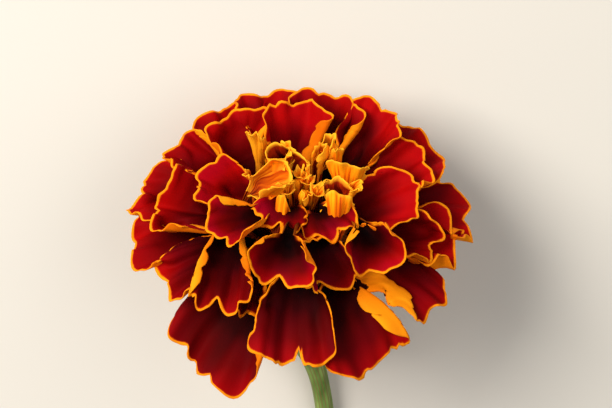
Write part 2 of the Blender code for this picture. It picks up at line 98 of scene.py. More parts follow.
middle_petals = [
    (-7, 18.0, 3.8, 2, 15, 6.3, 55,
     dict(painted_shading=0.9, shoulder=2.6, corner=0.12, ruffle=0.6, phase=2.0, jogs=3, give=0.3, shift=(-10.0, 0.1),
          notches=((-0.05, 0.09, 0.09),), left=(140, 0.76, 0.1), right=(150, 0.9, 0.1, 0.6))),
    (-9.3, 17.9, 8.7, -22, 7, 11.5, 146,
     dict(blush=0.25, shoulder=1.3, corner=0.0, ruffle=0.4, give=0.0, notches=((-0.06, 0.24, 0.08),))),
    (18, 15.8, 4.4, -14, 10, 6.2, 60,
     dict(painted_shading=1.1, blush=0.3, shoulder=1.3, ruffle=0.4, give=0.5, notches=((-0.1, 0.16, 0.14),))),
    (16, 16.2, 8.3, 0, 8, 10.6, 152,
     dict(blush=0.3, shoulder=1.2, corner=0.05, ruffle=0.5, give=0.0, shift=(6.7, 0.5),
          notches=((-0.1, 0.16, 0.1),))),
    (-53, 16.0, 10.9, 18, 9, 7.3, 100,
     dict(blush=0.4, shoulder=1.3, ruffle=0.5, give=0.3, notches=((0.25, 0.12, 0.12),),
          left=(150, 0.82, 0.1))),
    (-92, 22.5, 4.2, 20, 14, 8.2, 84, dict(right=(145, 0.87, 0.1))),
    (-122, 23.2, 6.6, 25, 14, 8.0, 80, dict(phase=1.7)),
    (70, 21.5, 5.0, 15, 13, 7.5, 95, dict(ruffle=0.7, phase=1.2)),
    (83, 17.8, 9.2, 30, 13, 9.6, 85, dict(painted_shading=-0.8, ruffle=0.5, give=0.4)),
    (110, 20.6, 8.8, 32, 13, 8.8, 85, dict(painted_shading=-0.3, ruffle=0.6, phase=2.6)),
    (122, 24.4, 5.8, 22, 14, 10.6, 62, dict(ruffle=0.6, waves=2.5)),
    (-146, 23.2, 7.2, 28, 14, 9.0, 75, dict(ruffle=0.8, phase=0.4, right=(145, 0.84, 0.12))),
]
upper_petals = [
    (-32, 9.0, 10.4, 18, 5.5, 7.4, 64,
     dict(blush=0.35, shoulder=1.4, ruffle=0.5, give=0.0, notches=((0.2, 0.25, 0.09), (-0.35, 0.15, 0.1)))),
    (36, 10.4, 9.6, 12, 5.5, 7.4, 68,
     dict(blush=0.45, shoulder=1.4, ruffle=0.5, give=0.0, notches=((0.05, 0.2, 0.08), (-0.5, 0.12, 0.12)))),
    (3, 9.8, 10.0, 45, 6, 4.8, 60, dict(ruffle=0.3, ripe=1.0)),
    (-96, 15.8, 9.9, 40, 12, 7.6, 85, dict(painted_shading=-1.0, blush=0.2, ruffle=0.6)),
    (-140, 18.5, 11.0, 45, 12, 9.0, 90, dict(painted_shading=-0.3, ruffle=0.6, left=(160, 0.84, 0.12, 0.6))),
    (-177, 15.6, 13.0, 55, 12, 9.0, 92, dict(painted_shading=-0.9, ruffle=0.5, give=0.3, left=(150, 0.7, 0.12, 0.5))),
    (167, 19.8, 11.0, 42, 12, 9.8, 86,
     dict(shoulder=2.6, ruffle=0.6, give=0.5, left=(150, 0.84, 0.12, 0.5))),
    (-163, 22.3, 8.7, 28, 14, 8.5, 80, dict(ruffle=0.7, phase=1.1)),
    (140, 20.4, 11.5, 45, 12, 8.2, 85, dict(painted_shading=-0.6, ruffle=0.5, give=0.5)),
]
# the far side of the head: azimuths, then the other values as above, without the wrap
back_rows = [
    ((150, 180, 210), 24.8, -7.6, -22, 16, 9.4),
    ((119, 241), 24.6, -7.6, -22, 16, 9.4),
    ((113, 134, 156, 178, 200, 221, 242, 262), 25.2, -0.6, 0, 15, 9.2),
    ((134, 154, 187, 214, 232), 22.5, 5.4, 20, 14, 8.6),
]
back_seed = 5
petal_thickness = 0.28
table_clearance = 0.01
throat_half_width, throat_wrap = 1.8, 125.0
claw_root_height = -9.5
facing_grid = (34, 57)      # points along a blade and across it
back_grid = (28, 45)


def petal(az, r, z, tilt, length, width, wrap, extras):
    """One petal's values under their names, with the usual ones filled in."""
    values = dict(az=az, r=r, z=z, tilt=tilt, length=length, width=width, wrap=wrap, seed=0,
                  shift=(0.0, 0.0),                         # of the whole petal, toward +x and +y
                  throat=throat_half_width, pull=0.45,      # the pull draws the claw's bends out
                  shoulder=1.6, corner=0.25,                # how soon it widens and rounds off
                  recurve=0.9, ruffle=0.8, waves=3.0, phase=0.0, crinkle=0.18, pleats=0.0,
                  jogs=6, notches=(),                       # a notch: where across, depth, width
                  left=None, right=None,    # a roll: angle, where it begins, its run, where at the throat
                  give=1.0,                                 # how far others may push it aside
                  ripe=0.0, blush=0.05, painted_shading=0.0)           # gold, magenta, and painted shade or, below 0, painted light
    values.update(extras)
    return values


def back_petals():
    """The petals on the far side of the head, by rule."""
    draw = random.Random(back_seed)
    petals = []
    for azimuths, r, z, tilt, length, width in back_rows:
        for az in azimuths:
            extras = dict(waves=draw.uniform(2.2, 3.2), phase=draw.uniform(0, 6), seed=len(petals) + 1)
            petals.append(petal(az + draw.uniform(-3, 3), r + draw.uniform(-0.8, 0.8),
                                z + draw.uniform(-1.2, 1.2), tilt + draw.uniform(-6, 6), length,
                                width + draw.uniform(-0.6, 0.8), draw.uniform(65, 100), extras))
    return petals


def trough(p):
    """A blade as a flaring trough, at even steps t from its throat to a little past its tip: the
    angle it wraps to each side, and its radius, slope and height.  The half width and the wrap
    give the radius; the slope then keeps the blade's length."""
    past_tip, steps, smoothing = 1.4, 141, 13
    t = np.linspace(0, past_tip, steps)
    step = t[1] - t[0]
    inside = np.clip(t, 0, 1)
    half = p["throat"] + (p["width"] - p["throat"]) * (1 - (1 - inside) ** p["shoulder"])
    half = half + (t - inside) * p["width"] * 0.5
    wrap = math.radians(throat_wrap) + (math.radians(p["wrap"] - throat_wrap)) * inside ** 0.8
    radius = half / wrap
    slope = np.clip(np.gradient(radius, step) / p["length"], -0.9, 0.97)
    slope = np.pad(slope, smoothing // 2, mode="edge")
    slope = np.convolve(slope, np.ones(smoothing) / smoothing, mode="valid")
    mean = (slope[1:] + slope[:-1]) / 2
    run = step * p["length"]
    radius = radius[0] + np.concatenate([[0], np.cumsum(mean * run)])
    height = np.concatenate([[0], np.cumsum(np.sqrt(1 - mean ** 2) * run)])
    return t, wrap, radius, slope, height


def free_margin(p, u, v, beats, own):
    """How far along the blade and across it each point stands, once the free end waves and is
    notched, and small jogs are cut in the end and in both sides."""
    reach = 1 - p["corner"] * np.abs(v) ** 3.5
    reach = reach + 0.03 * np.sin(5.1 * v + beats[0]) + 0.02 * np.sin(11 * v + beats[1])
    jogs = [(own.uniform(-0.95, 0.95), own.uniform(-0.02, 0.055), own.uniform(0.03, 0.08))
            for _ in range(p["jogs"])]
    for place, deep, wide in (*jogs, *p["notches"]):
        reach = reach - deep * np.exp(-((v - place) / wide) ** 2)
    across = np.repeat(v, len(u), axis=0)
    for sign in (-1, 1):
        for _ in range(3):
            place, deep, wide = own.uniform(0.4, 0.95), own.uniform(0.02, 0.09), own.uniform(0.02, 0.06)
            dent = deep * np.exp(-((u - place) / wide) ** 2)
            across = across * (1 - dent * np.clip(sign * v, 0, 1) ** 4)
    return u * reach, across


def nearest_on_margin(pattern):
    """For each point of a blade laid out flat: its distance from the free margin, in mm, and how
    far along that margin the nearest place is."""
    margin = np.concatenate([pattern[:, 0], pattern[-1, 1:], pattern[-2::-1, -1]])
    start, run = margin[:-1], np.diff(margin, axis=0)
    size = np.linalg.norm(run, axis=1) + 1e-9
    before = np.concatenate([[0], np.cumsum(size)])[:-1]
    flat = pattern.reshape(-1, 1, 2) - start[None]
    share = np.clip((flat * run[None]).sum(-1) / size ** 2, 0, 1)
    away = np.linalg.norm(flat - share[..., None] * run[None], axis=-1)
    nearest = away.argmin(axis=1)
    rows = np.arange(len(nearest))
    along = before[nearest] + share[rows, nearest] * size[nearest]
    shape = pattern.shape[:2]
    return away[rows, nearest].reshape(shape), along.reshape(shape)


def sections(p, u, t, wrap, radius):
    """The section across the blade in each row, followed in fine steps: an arc whose margins may
    roll over.  Gives the steps, the surface's turn, and how far it lies sideways and inward."""
    steps = 201
    middle = slice(steps // 2, steps // 2 + 1)
    fine = np.linspace(-1, 1, steps)[None, :]
    turn = fine * np.interp(u, t, wrap)
    for sign, roll in ((-1, p["left"]), (1, p["right"])):
        if roll:
            degrees, at_tip, over, *rest = roll
            at_throat = rest[0] if rest else at_tip
            begins = at_tip + (at_throat - at_tip) * (1 - u)
            amount = np.clip((sign * fine - begins) / over, 0, 1) ** 1.3
            turn = turn + sign * math.radians(degrees) * amount * np.clip(u * 2.2 - 0.35, 0, 1)
    gap = fine[0, 1] - fine[0, 0]
    mid_turn = (turn[:, 1:] + turn[:, :-1]) / 2
    width = np.interp(u, t, radius * wrap)
    start = np.zeros_like(u)
    sideways = np.concatenate([start, np.cumsum(np.cos(mid_turn) * gap, axis=1)], axis=1) * width
    inward = np.concatenate([start, np.cumsum(np.sin(mid_turn) * gap, axis=1)], axis=1) * width
    return fine[0], turn, sideways - sideways[:, middle], inward - inward[:, middle]


def ruffles(p, s, across, edge, margin_run, beats, phases):
    """How far the blade lifts off its trough, in mm: broad ruffles toward the free end, a fine
    crinkle that keeps to the margin, and pleats on a petal that is only half open."""
    crinkle_length, fine_crinkle_length = 3.3, 1.5
    beat = math.pi * p["waves"] * across + p["phase"]
    out = np.clip(s, 0, 1.3)
    lift = p["ruffle"] * out ** 2.2 * (np.sin(beat) + 0.4 * np.sin(2.3 * beat + beats[2]))
    near = np.exp(-(edge / 1.5) ** 1.5) * np.clip(out * 3 - 0.3, 0, 1)
    swing = 0.6 + 0.4 * np.sin(margin_run / 3.1 + phases[0])
    crinkle = np.sin(margin_run * 2 * math.pi / crinkle_length + phases[1]
                     + 0.9 * np.sin(margin_run / 1.9 + phases[2]))
    crinkle = crinkle + 0.25 * np.sin(margin_run * 2 * math.pi / fine_crinkle_length + phases[3])
    lift = lift + p["crinkle"] * near * swing * crinkle - 0.2 * np.exp(-edge / 0.8)
    return lift + p["pleats"] * np.clip(s * 3, 0, 1) * np.sin(24 * across + phases[4])


def petal_sheet(p, blade_rows, columns, claw_rows=8):
    """A petal's values with its middle surface: the points, and for each its distance from the
    edge in mm, how far along the blade it is (negative in the claw) and how far across."""
    az, tilt = math.radians(p["az"]), math.radians(p["tilt"])
    upward = np.array([0, 0, 1.0])
    outward = np.array([math.sin(az), -math.cos(az), 0.0])
    side = np.array([math.cos(az), math.sin(az), 0.0])
    along = math.cos(tilt) * outward + math.sin(tilt) * upward
    facing = np.cross(along, side)
    draw = random.Random(p["seed"])
    beats = [draw.uniform(0, 2 * math.pi) for _ in range(3)]
    own = random.Random(1000 + p["seed"] * 7 + int(p["az"] * 3 + p["r"] * 11))
    phases = [own.uniform(0, 2 * math.pi) for _ in range(6)]

    # the trough leans so that its middle line runs along the blade's slope
    t, wrap, radius, slope, height = trough(p)
    tip_h, tip_r = np.interp(1.0, t, height), np.interp(1.0, t, radius)
    lean = math.atan2(tip_r - radius[0], tip_h)
    axis = math.cos(lean) * along + math.sin(lean) * facing
    normal = math.cos(lean) * facing - math.sin(lean) * along

    # its rows stand closer toward the tip and its columns toward the sides
    even = np.linspace(-1, 1, columns)
    v = (0.6 * even + 0.4 * np.sin(even * math.pi / 2))[None, :]
    u = (np.linspace(0, 1, blade_rows) ** 0.85)[:, None]
    s, across = free_margin(p, u, v, beats, own)
    pattern = np.stack([across * np.interp(s, t, radius * wrap), s * p["length"]], axis=-1)
    edge, margin_run = nearest_on_margin(pattern)

    rr, hh, ss = (np.interp(s, t, values) for values in (radius, height, slope))
    fine, turn, sideways, inward = sections(p, u, t, wrap, radius)
    points, out = np.zeros(s.shape + (3,)), np.zeros(s.shape + (3,))
    for i in range(blade_rows):
        x, y, a = (np.interp(across[i], fine, values[i]) for values in (sideways, inward, turn))
        scale = rr[i] / np.interp(u[i, 0], t, radius)
        points[i] = (hh[i][:, None] * axis + (scale * x)[:, None] * side
                     + (scale * y - rr[i])[:, None] * normal)
        spoke = -np.cos(a)[:, None] * normal + np.sin(a)[:, None] * side
        out[i] = -np.sqrt(1 - ss[i] ** 2)[:, None] * spoke + ss[i][:, None] * axis
    lift = ruffles(p, s, across, edge, margin_run, beats, phases)
    arch = p["recurve"] * (s - 0.5) * np.abs(s - 0.5) * 2
    points = points + lift[..., None] * out - arch[..., None] * facing
    aside = np.array([*p["shift"], 0.0])
    tip = p["r"] * outward + aside + np.array([0, 0, p["z"]])
    throat = tip - (tip_h * axis - tip_r * normal - p["recurve"] / 2 * facing)
    points = points + throat

    # the claw runs from the throat down and in to where the claws gather
    root = min(4.0, 0.16 * p["r"]) * outward + 0.4 * aside + np.array([0, 0, claw_root_height])
    pull = np.linalg.norm(throat - root) * p["pull"]
    end = points[0, columns // 2] + radius[0] * normal
    bend1 = root + (0.35 * outward + upward) * pull
    bend2 = end - axis * pull * 0.9
    k = np.linspace(0, 1, claw_rows + 1)[:-1, None]
    path = (1 - k) ** 3 * root + 3 * (1 - k) ** 2 * k * bend1 + 3 * (1 - k) * k * k * bend2 + k ** 3 * end
    angle = v[0] * math.radians(throat_wrap)
    spoke = -np.cos(angle)[:, None] * normal + np.sin(angle)[:, None] * side
    claw = path[:, None, :] + (0.6 + 0.4 * k)[..., None] * radius[0] * spoke[None]
    ones = np.ones((claw_rows, columns))
    far_from_edge = 9.0
    return dict(p, claw_rows=claw_rows, points=np.concatenate([claw, points]),
                edge_mm=np.concatenate([far_from_edge * ones, edge]),
                along=np.concatenate([(k - 1) * ones, s]), across=np.concatenate([v * ones, across]))


def blade_tree(coarse):
    """A search tree over the quads of one blade's coarse grid."""
    rows, columns = coarse.shape[:2]
    index = np.arange(rows * columns).reshape(rows, columns)
    quads = np.stack([index[:-1, :-1], index[:-1, 1:], index[1:, 1:], index[1:, :-1]], axis=-1)
    return BVHTree.FromPolygons(coarse.reshape(-1, 3).tolist(), quads.reshape(-1, 4).tolist())


def gap_over(points, tree, reach):
    """For each point near a blade's inside: how far it stands over its face, and that face's
    normal; nan where the blade is out of reach or only its margin is near."""
    over, normals = np.full(len(points), np.nan), np.zeros((len(points), 3))
    for n, point in enumerate(points):
        spot, normal, _, distance = tree.find_nearest(point, reach)
        if spot is None or distance < 1e-6:
            continue
        height = float(np.dot(np.array(point) - spot, normal))
        if abs(height) > 0.8 * distance:
            over[n], normals[n] = height, normal
    return over, normals


def carried(grid, shift):
    """A grid moved by a shift that is known at every second point, and in between by halves."""
    last_row, last_column = shift.shape[0] - 1, shift.shape[1] - 1
    rows = np.minimum(np.arange(grid.shape[0]) / 2, last_row)
    columns = np.minimum(np.arange(grid.shape[1]) / 2, last_column)
    r0, c0 = rows.astype(int), columns.astype(int)
    r1, c1 = np.minimum(r0 + 1, last_row), np.minimum(c0 + 1, last_column)
    down, over = (rows - r0)[:, None, None], (columns - c0)[None, :, None]
    return (grid + (1 - down) * (1 - over) * shift[r0][:, c0] + down * (1 - over) * shift[r1][:, c0]
            + (1 - down) * over * shift[r0][:, c1] + down * over * shift[r1][:, c1])


def crossings(coarse, gives, reach):
    """For each two blades that come near each other, of which one gives way: how far each point
    of the first stands over the second, and along which normal."""
    margin = 0.5
    trees = [blade_tree(c) for c in coarse]
    lows = [c.reshape(-1, 3).min(axis=0) - margin for c in coarse]
    highs = [c.reshape(-1, 3).max(axis=0) + margin for c in coarse]
    found = {}
    for i, c in enumerate(coarse):
        flat = c.reshape(-1, 3)
        for j in range(len(coarse)):
            apart = (lows[i] > highs[j]).any() or (lows[j] > highs[i]).any()
            if i == j or gives[i] + gives[j] == 0 or apart:
                continue
            over, normals = np.full(len(flat), np.nan), np.zeros((len(flat), 3))
            near = ((flat > lows[j]) & (flat < highs[j])).all(axis=1)
            over[near], normals[near] = gap_over(flat[near].tolist(), trees[j], reach)
            if np.isfinite(over).any():
                found[i, j] = over, normals
    return found


def part_blades(blades, gap, rounds, under=()):
    """Push blades that cross apart, each as far as it gives way, so that one lies wholly over or
    under the other and at least a gap away: on the side where most of it already is, and over
    the blades that are given as under, which stay where they are."""
    reach, longest_push = 2.6, 1.0
    held_to, freed_over = 0.04, 0.25            # along a blade, which is held at its throat
    every = [*under, *blades]
    gives = [0.0] * len(under) + [blade["give"] for blade in blades]
    start = [blade["points"][blade["claw_rows"]::2, ::2] for blade in every]
    places = [blade["along"][blade["claw_rows"]::2, ::2, None] for blade in every]
    free = [give * np.clip((place - held_to) / freed_over, 0, 1) for give, place in zip(gives, places)]
    coarse = [c.copy() for c in start]
    above = {}
    for _ in range(rounds):
        found = crossings(coarse, gives, reach)
        for i, j in found:
            if (i, j) not in above:
                mine = np.nansum(np.clip(found[i, j][0], -1, 1))
                theirs = np.nansum(np.clip(found[j, i][0], -1, 1)) if (j, i) in found else 0.0
                above[i, j] = mine >= theirs
                if (i < len(under)) != (j < len(under)):
                    above[i, j] = i >= len(under)
                above[j, i] = not above[i, j]
        for i, c in enumerate(coarse):
            push = np.zeros_like(c)
            for (a, j), (over, normals) in found.items():
                if a != i:
                    continue
                side = 1.0 if above[i, j] else -1.0
                short = np.nan_to_num(np.clip(gap - side * over, 0, reach), nan=0.0)
                push += (side * 0.5 * short[:, None] * normals).reshape(c.shape)
            push *= free[i]
            size = np.linalg.norm(push, axis=-1, keepdims=True)
            push *= np.clip(longest_push / (size + 1e-9), 0, 1)
            for _ in range(2):                  # neighbours share it
                padded = np.pad(push, ((1, 1), (1, 1), (0, 0)), mode="edge")
                push = (padded[1:-1, 1:-1] * 2 + padded[:-2, 1:-1] + padded[2:, 1:-1]
                        + padded[1:-1, :-2] + padded[1:-1, 2:]) / 6
            coarse[i] = c + 1.25 * push * free[i]
    for blade, now, then in zip(every, coarse, start):
        claw, rest = np.split(blade["points"], [blade["claw_rows"]])
        blade["points"] = np.concatenate([claw, carried(rest, now - then)])


def laid(points):
    """Points of the flower's own frame where they come to lie on the table, both in mm."""
    a = math.radians(axis_rise)
    x, y, z = np.moveaxis(np.asarray(points, dtype=float), -1, 0)
    return np.stack([x + ring_centre[0], math.sin(a) * y + math.cos(a) * z + ring_centre[1],
                     -math.cos(a) * y + math.sin(a) * z + ring_centre[2]], axis=-1)


def rested(grid, az, lift):
    """Bend what would sink below the table so that it lies on it, pointing outward."""
    rounding, slide_share = 0.6, 0.9
    a = math.radians(az)
    slide = np.array([math.sin(a), -math.cos(a) * math.sin(math.radians(axis_rise))])
    slide /= np.linalg.norm(slide)
    over = grid[..., 2] - lift
    soft = np.clip(over, 0, None)
    near = np.abs(over) < rounding
    soft[near] = (over[near] + rounding) ** 2 / (4 * rounding)
    sunk = (soft - over) * slide_share
    grid = grid + np.stack([slide[0] * sunk, slide[1] * sunk, np.zeros_like(sunk)], axis=-1)
    grid[..., 2] = soft + lift
    return grid


def placed(name, data):
    """A new object in the scene."""
    obj = bpy.data.objects.new(name, data)
    bpy.context.scene.collection.objects.link(obj)
    return obj


def smooth_mesh(name, verts, faces, stored):
    """A smooth mesh, with what its material reads stored on its points by name."""
    mesh = bpy.data.meshes.new(name)
    mesh.from_pydata(verts, [], faces)
    for key, values in stored.items():
        mesh.attributes.new(key, "FLOAT", "POINT").data.foreach_set("value", values)
    mesh.shade_smooth()
    return mesh


def outward_faces(obj):
    """Turn a closed mesh's faces so that they point out of it."""
    work = bmesh.new()
    work.from_mesh(obj.data)
    bmesh.ops.recalc_face_normals(work, faces=work.faces)
    work.to_mesh(obj.data)
    work.free()


def petals_object(name, blades, places, thickness):
    """One object of thin closed blades, thinnest at the edge: for each its front, then its back,
    then the strip that joins them all round."""
    kept = ("edge_mm", "along", "across", "ripe", "blush", "painted_shading")
    verts, faces, stored = [], [], {key: [] for key in (*kept, "back", "tone")}
    for n, (blade, grid) in enumerate(zip(blades, places)):
        rows, columns = grid.shape[:2]
        count = rows * columns
        normal = np.cross(np.gradient(grid, axis=0), np.gradient(grid, axis=1))
        normal /= np.linalg.norm(normal, axis=-1, keepdims=True) + 1e-12
        half = thickness / 2 * (0.45 + 0.55 * np.clip(blade["edge_mm"] / 1.2, 0, 1))[..., None]
        base = len(verts)
        other = base + count
        verts.extend(map(tuple, (grid + normal * half).reshape(-1, 3) * MM))
        verts.extend(map(tuple, (grid - normal * half).reshape(-1, 3) * MM))
        index = np.arange(count).reshape(rows, columns)
        corners = (index[:-1, :-1], index[:-1, 1:], index[1:, 1:], index[1:, :-1])
        quads = np.stack(corners, axis=-1).reshape(-1, 4)
        faces.extend(map(tuple, (quads + base).tolist()))
        faces.extend(map(tuple, (quads[:, ::-1] + other).tolist()))
        rim = [*index[0], *index[1:, -1], *index[-1, -2::-1], *index[-2:0:-1, 0]]
        for i, j in zip(rim, rim[1:] + rim[:1]):
            faces.append((base + int(j), base + int(i), other + int(i), other + int(j)))
        for key in kept:
            values = np.full((rows, columns), blade[key], dtype=float).reshape(-1)
            stored[key].extend([*values, *values])
        stored["back"].extend([0.0] * count + [1.0] * count)
        stored["tone"].extend([random.Random(n * 31 + 7).random()] * (2 * count))
    return placed(name, smooth_mesh(name, verts, faces, stored))


def colour(text):
    """A colour written as sRGB hex, as the linear values that a shader takes."""
    parts = [int(text[i:i + 2], 16) / 255 for i in (0, 2, 4)]
    return tuple(c / 12.92 if c <= 0.04045 else ((c + 0.055) / 1.055) ** 2.4 for c in parts) + (1.0,)


def bare_material(name):
    """A material whose node tree is still empty."""
    material = bpy.data.materials.new(name)
    material.use_nodes = True
    material.node_tree.nodes.clear()
    return material


def add(tree, kind, inputs=None, stops=(), **settings):
    """Add a node: its settings by name, its inputs by name or number as values or links, and the
    (place, hex) stops of a colour ramp.  A node as an input means its first output in use."""
    node = tree.nodes.new(kind)
    for key, value in settings.items():
        setattr(node, key, value)
    for key, value in (inputs or {}).items():
        if isinstance(value, bpy.types.Node):
            value = next(output for output in value.outputs if output.enabled)
        if isinstance(value, bpy.types.NodeSocket):
            tree.links.new(value, node.inputs[key])
        else:
            node.inputs[key].default_value = value
    for n, (place, text) in enumerate(stops):
        marks = node.color_ramp.elements            # a new ramp has two
        mark = marks[n] if n < 2 else marks.new(place)
        mark.position, mark.color = place, colour(text)
    return node


def velvet_petal_material():
    """Petal velvet: a matt skin of tiny upright cells.  It drinks light where it is looked at
    straight, and carries painted shade that is darkest where the blade narrows to its throat."""
    material = bare_material("petal velvet")
    tree = material.node_tree
    names = ("edge_mm", "along", "across", "back", "tone", "ripe", "blush", "painted_shading")
    edge, along, across, back, tone, ripe, blush, painted_shading = (
        add(tree, "ShaderNodeAttribute", attribute_name=name).outputs["Fac"] for name in names)
    place = add(tree, "ShaderNodeTexCoord").outputs["Object"]

    # streaks run along the blade, about 2 mm wide, and each petal has its own
    streak_x = add(tree, "ShaderNodeMath", {0: across, 1: 1.8}, operation="MULTIPLY")
    streak_z = add(tree, "ShaderNodeMath", {0: tone, 1: 40.0}, operation="MULTIPLY")
    streak_at = add(tree, "ShaderNodeCombineXYZ", {"X": streak_x, "Y": along, "Z": streak_z})
    streak = add(tree, "ShaderNodeTexNoise", {"Vector": streak_at, "Scale": 1.0, "Detail": 1.5,
                 "Roughness": 0.5})

    # painted shade: crimson deepens down the blade to a throat that is nearly black, and each petal's
    # own painted shade darkens it or, below 0, painted light brightens it; inputs 6 and 7 of a colour
    # mix are what lies below and what lies over it
    painted_throat_shade = add(tree, "ShaderNodeMath", {0: along, 1: 0.72}, operation="MULTIPLY")
    shade = add(tree, "ShaderNodeMath", {0: streak, 1: 0.58, 2: painted_throat_shade}, operation="MULTIPLY_ADD")
    shade = add(tree, "ShaderNodeMath", {0: painted_shading, 1: -0.16, 2: shade}, operation="MULTIPLY_ADD")
    crimson = add(tree, "ShaderNodeValToRGB", {"Fac": shade},
                  ((0.3, "0C0001"), (0.5, "280001"), (0.74, "5E0002"), (1.0, "A00303")))

    # a ripe blade is golden at its throat
    throat_gold = add(tree, "ShaderNodeValToRGB", {"Fac": streak},
                      ((0.3, "8A2A06"), (0.55, "CE6A0A"), (0.75, "F2A01A")))
    low = add(tree, "ShaderNodeMapRange", {"Value": along, "From Min": 0.75, "From Max": 0.35})
    share = add(tree, "ShaderNodeMath", {0: low, 1: ripe}, operation="MULTIPLY")
    crimson = add(tree, "ShaderNodeMix", {0: share, 6: crimson, 7: throat_gold}, data_type="RGBA")

    # the young blades are flushed magenta in patches of about 6 mm, most of all toward the end
    flank = add(tree, "ShaderNodeTexNoise", {"Vector": place, "Scale": 0.16 / MM, "Detail": 1.0})
    flank = add(tree, "ShaderNodeMapRange", {"Value": flank, "From Min": 0.42, "From Max": 0.66})
    flank = add(tree, "ShaderNodeMath", {0: flank, 1: blush}, operation="MULTIPLY")
    high = add(tree, "ShaderNodeMapRange", {"Value": along, "From Min": 0.3, "From Max": 0.75})
    flank = add(tree, "ShaderNodeMath", {0: flank, 1: high}, operation="MULTIPLY")
    crimson = add(tree, "ShaderNodeMix", {0: flank, 6: crimson, 7: colour("A00030")}, data_type="RGBA")

    # the back is golden, with painted shade that darkens it to brown toward the claw
    golden = add(tree, "ShaderNodeValToRGB", {"Fac": streak},
                 ((0.25, "D65E04"), (0.5, "EC7E08"), (0.75, "FCA214")))
    painted_claw_shade = add(tree, "ShaderNodeValToRGB", {"Fac": streak}, ((0.3, "4A1204"), (0.7, "8A3A08")))
    low = add(tree, "ShaderNodeMapRange", {"Value": along, "From Min": 0.4, "From Max": -0.2})
    golden = add(tree, "ShaderNodeMix", {0: low, 6: golden, 7: painted_claw_shade}, data_type="RGBA")

    # the golden edge, 0.4 mm wide, runs unevenly into the crimson, by a grain of about 1 mm
    wander = add(tree, "ShaderNodeTexNoise", {"Vector": place, "Scale": 0.9 / MM, "Detail": 2.0})
    uneven = add(tree, "ShaderNodeMath", {0: wander, 1: 0.24, 2: edge}, operation="MULTIPLY_ADD")
    rim = add(tree, "ShaderNodeMapRange", {"Value": uneven, "From Min": 0.57, "From Max": 0.35})
    starts = add(tree, "ShaderNodeMapRange", {"Value": along, "From Min": 0.02, "From Max": 0.22})
    rim = add(tree, "ShaderNodeMath", {0: rim, 1: starts}, operation="MULTIPLY")
    rim_gold = add(tree, "ShaderNodeValToRGB", {"Fac": rim},
                   ((0.0, "8E0A03"), (0.5, "DC5604"), (1.0, "FA920E")))
    front = add(tree, "ShaderNodeMix", {0: rim, 6: crimson, 7: rim_gold}, data_type="RGBA")
    skin = add(tree, "ShaderNodeMix", {0: back, 6: front, 7: golden}, data_type="RGBA")

    # the cells of the velvet, drawn coarser than life at about 0.14 mm, and fine veins
    cells = add(tree, "ShaderNodeTexNoise", {"Vector": place, "Scale": 7.0 / MM, "Detail": 1.0})
    vein_x = add(tree, "ShaderNodeMath", {0: across, 1: 22.0}, operation="MULTIPLY")
    vein_at = add(tree, "ShaderNodeCombineXYZ", {"X": vein_x, "Y": along, "Z": tone})
    veins = add(tree, "ShaderNodeTexNoise", {"Vector": vein_at, "Scale": 1.0, "Detail": 1.0})
    relief = add(tree, "ShaderNodeMath", {0: cells, 1: 0.5, 2: veins}, operation="MULTIPLY_ADD")
    bump = add(tree, "ShaderNodeBump", {"Height": relief, "Strength": 0.22, "Distance": 0.1 * MM})
    shader = add(tree, "ShaderNodeBsdfPrincipled", {"Base Color": skin, "Roughness": 0.7, "IOR": 1.4,
                 "Sheen Weight": 0.06, "Sheen Roughness": 0.3, "Sheen Tint": colour("C8002A"),
                 "Specular IOR Level": 0.05, "Normal": bump})
    add(tree, "ShaderNodeOutputMaterial", {"Surface": shader})
    return material


petal_rows = {
    "ray_petals_skirt": [petal_sheet(petal(*row), *facing_grid) for row in skirt_petals],
    "ray_petals_middle": [petal_sheet(petal(*row), *facing_grid) for row in middle_petals],
    "ray_petals_upper": [petal_sheet(petal(*row), *facing_grid) for row in upper_petals],
    "ray_petals_back": [petal_sheet(p, *back_grid) for p in back_petals()],
}
part_blades([blade for blades in petal_rows.values() for blade in blades],
            gap=petal_thickness + 0.04, rounds=10)
velvet = velvet_petal_material()
for name, blades in petal_rows.items():
    lift = petal_thickness / 2 + table_clearance
    places = [rested(laid(blade["points"]), blade["az"], lift) for blade in blades]
    piece = petals_object(name, blades, places, petal_thickness)
    outward_faces(piece)
    piece.data.materials.append(velvet)
    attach(piece, "root")
    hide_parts("ray_petals")


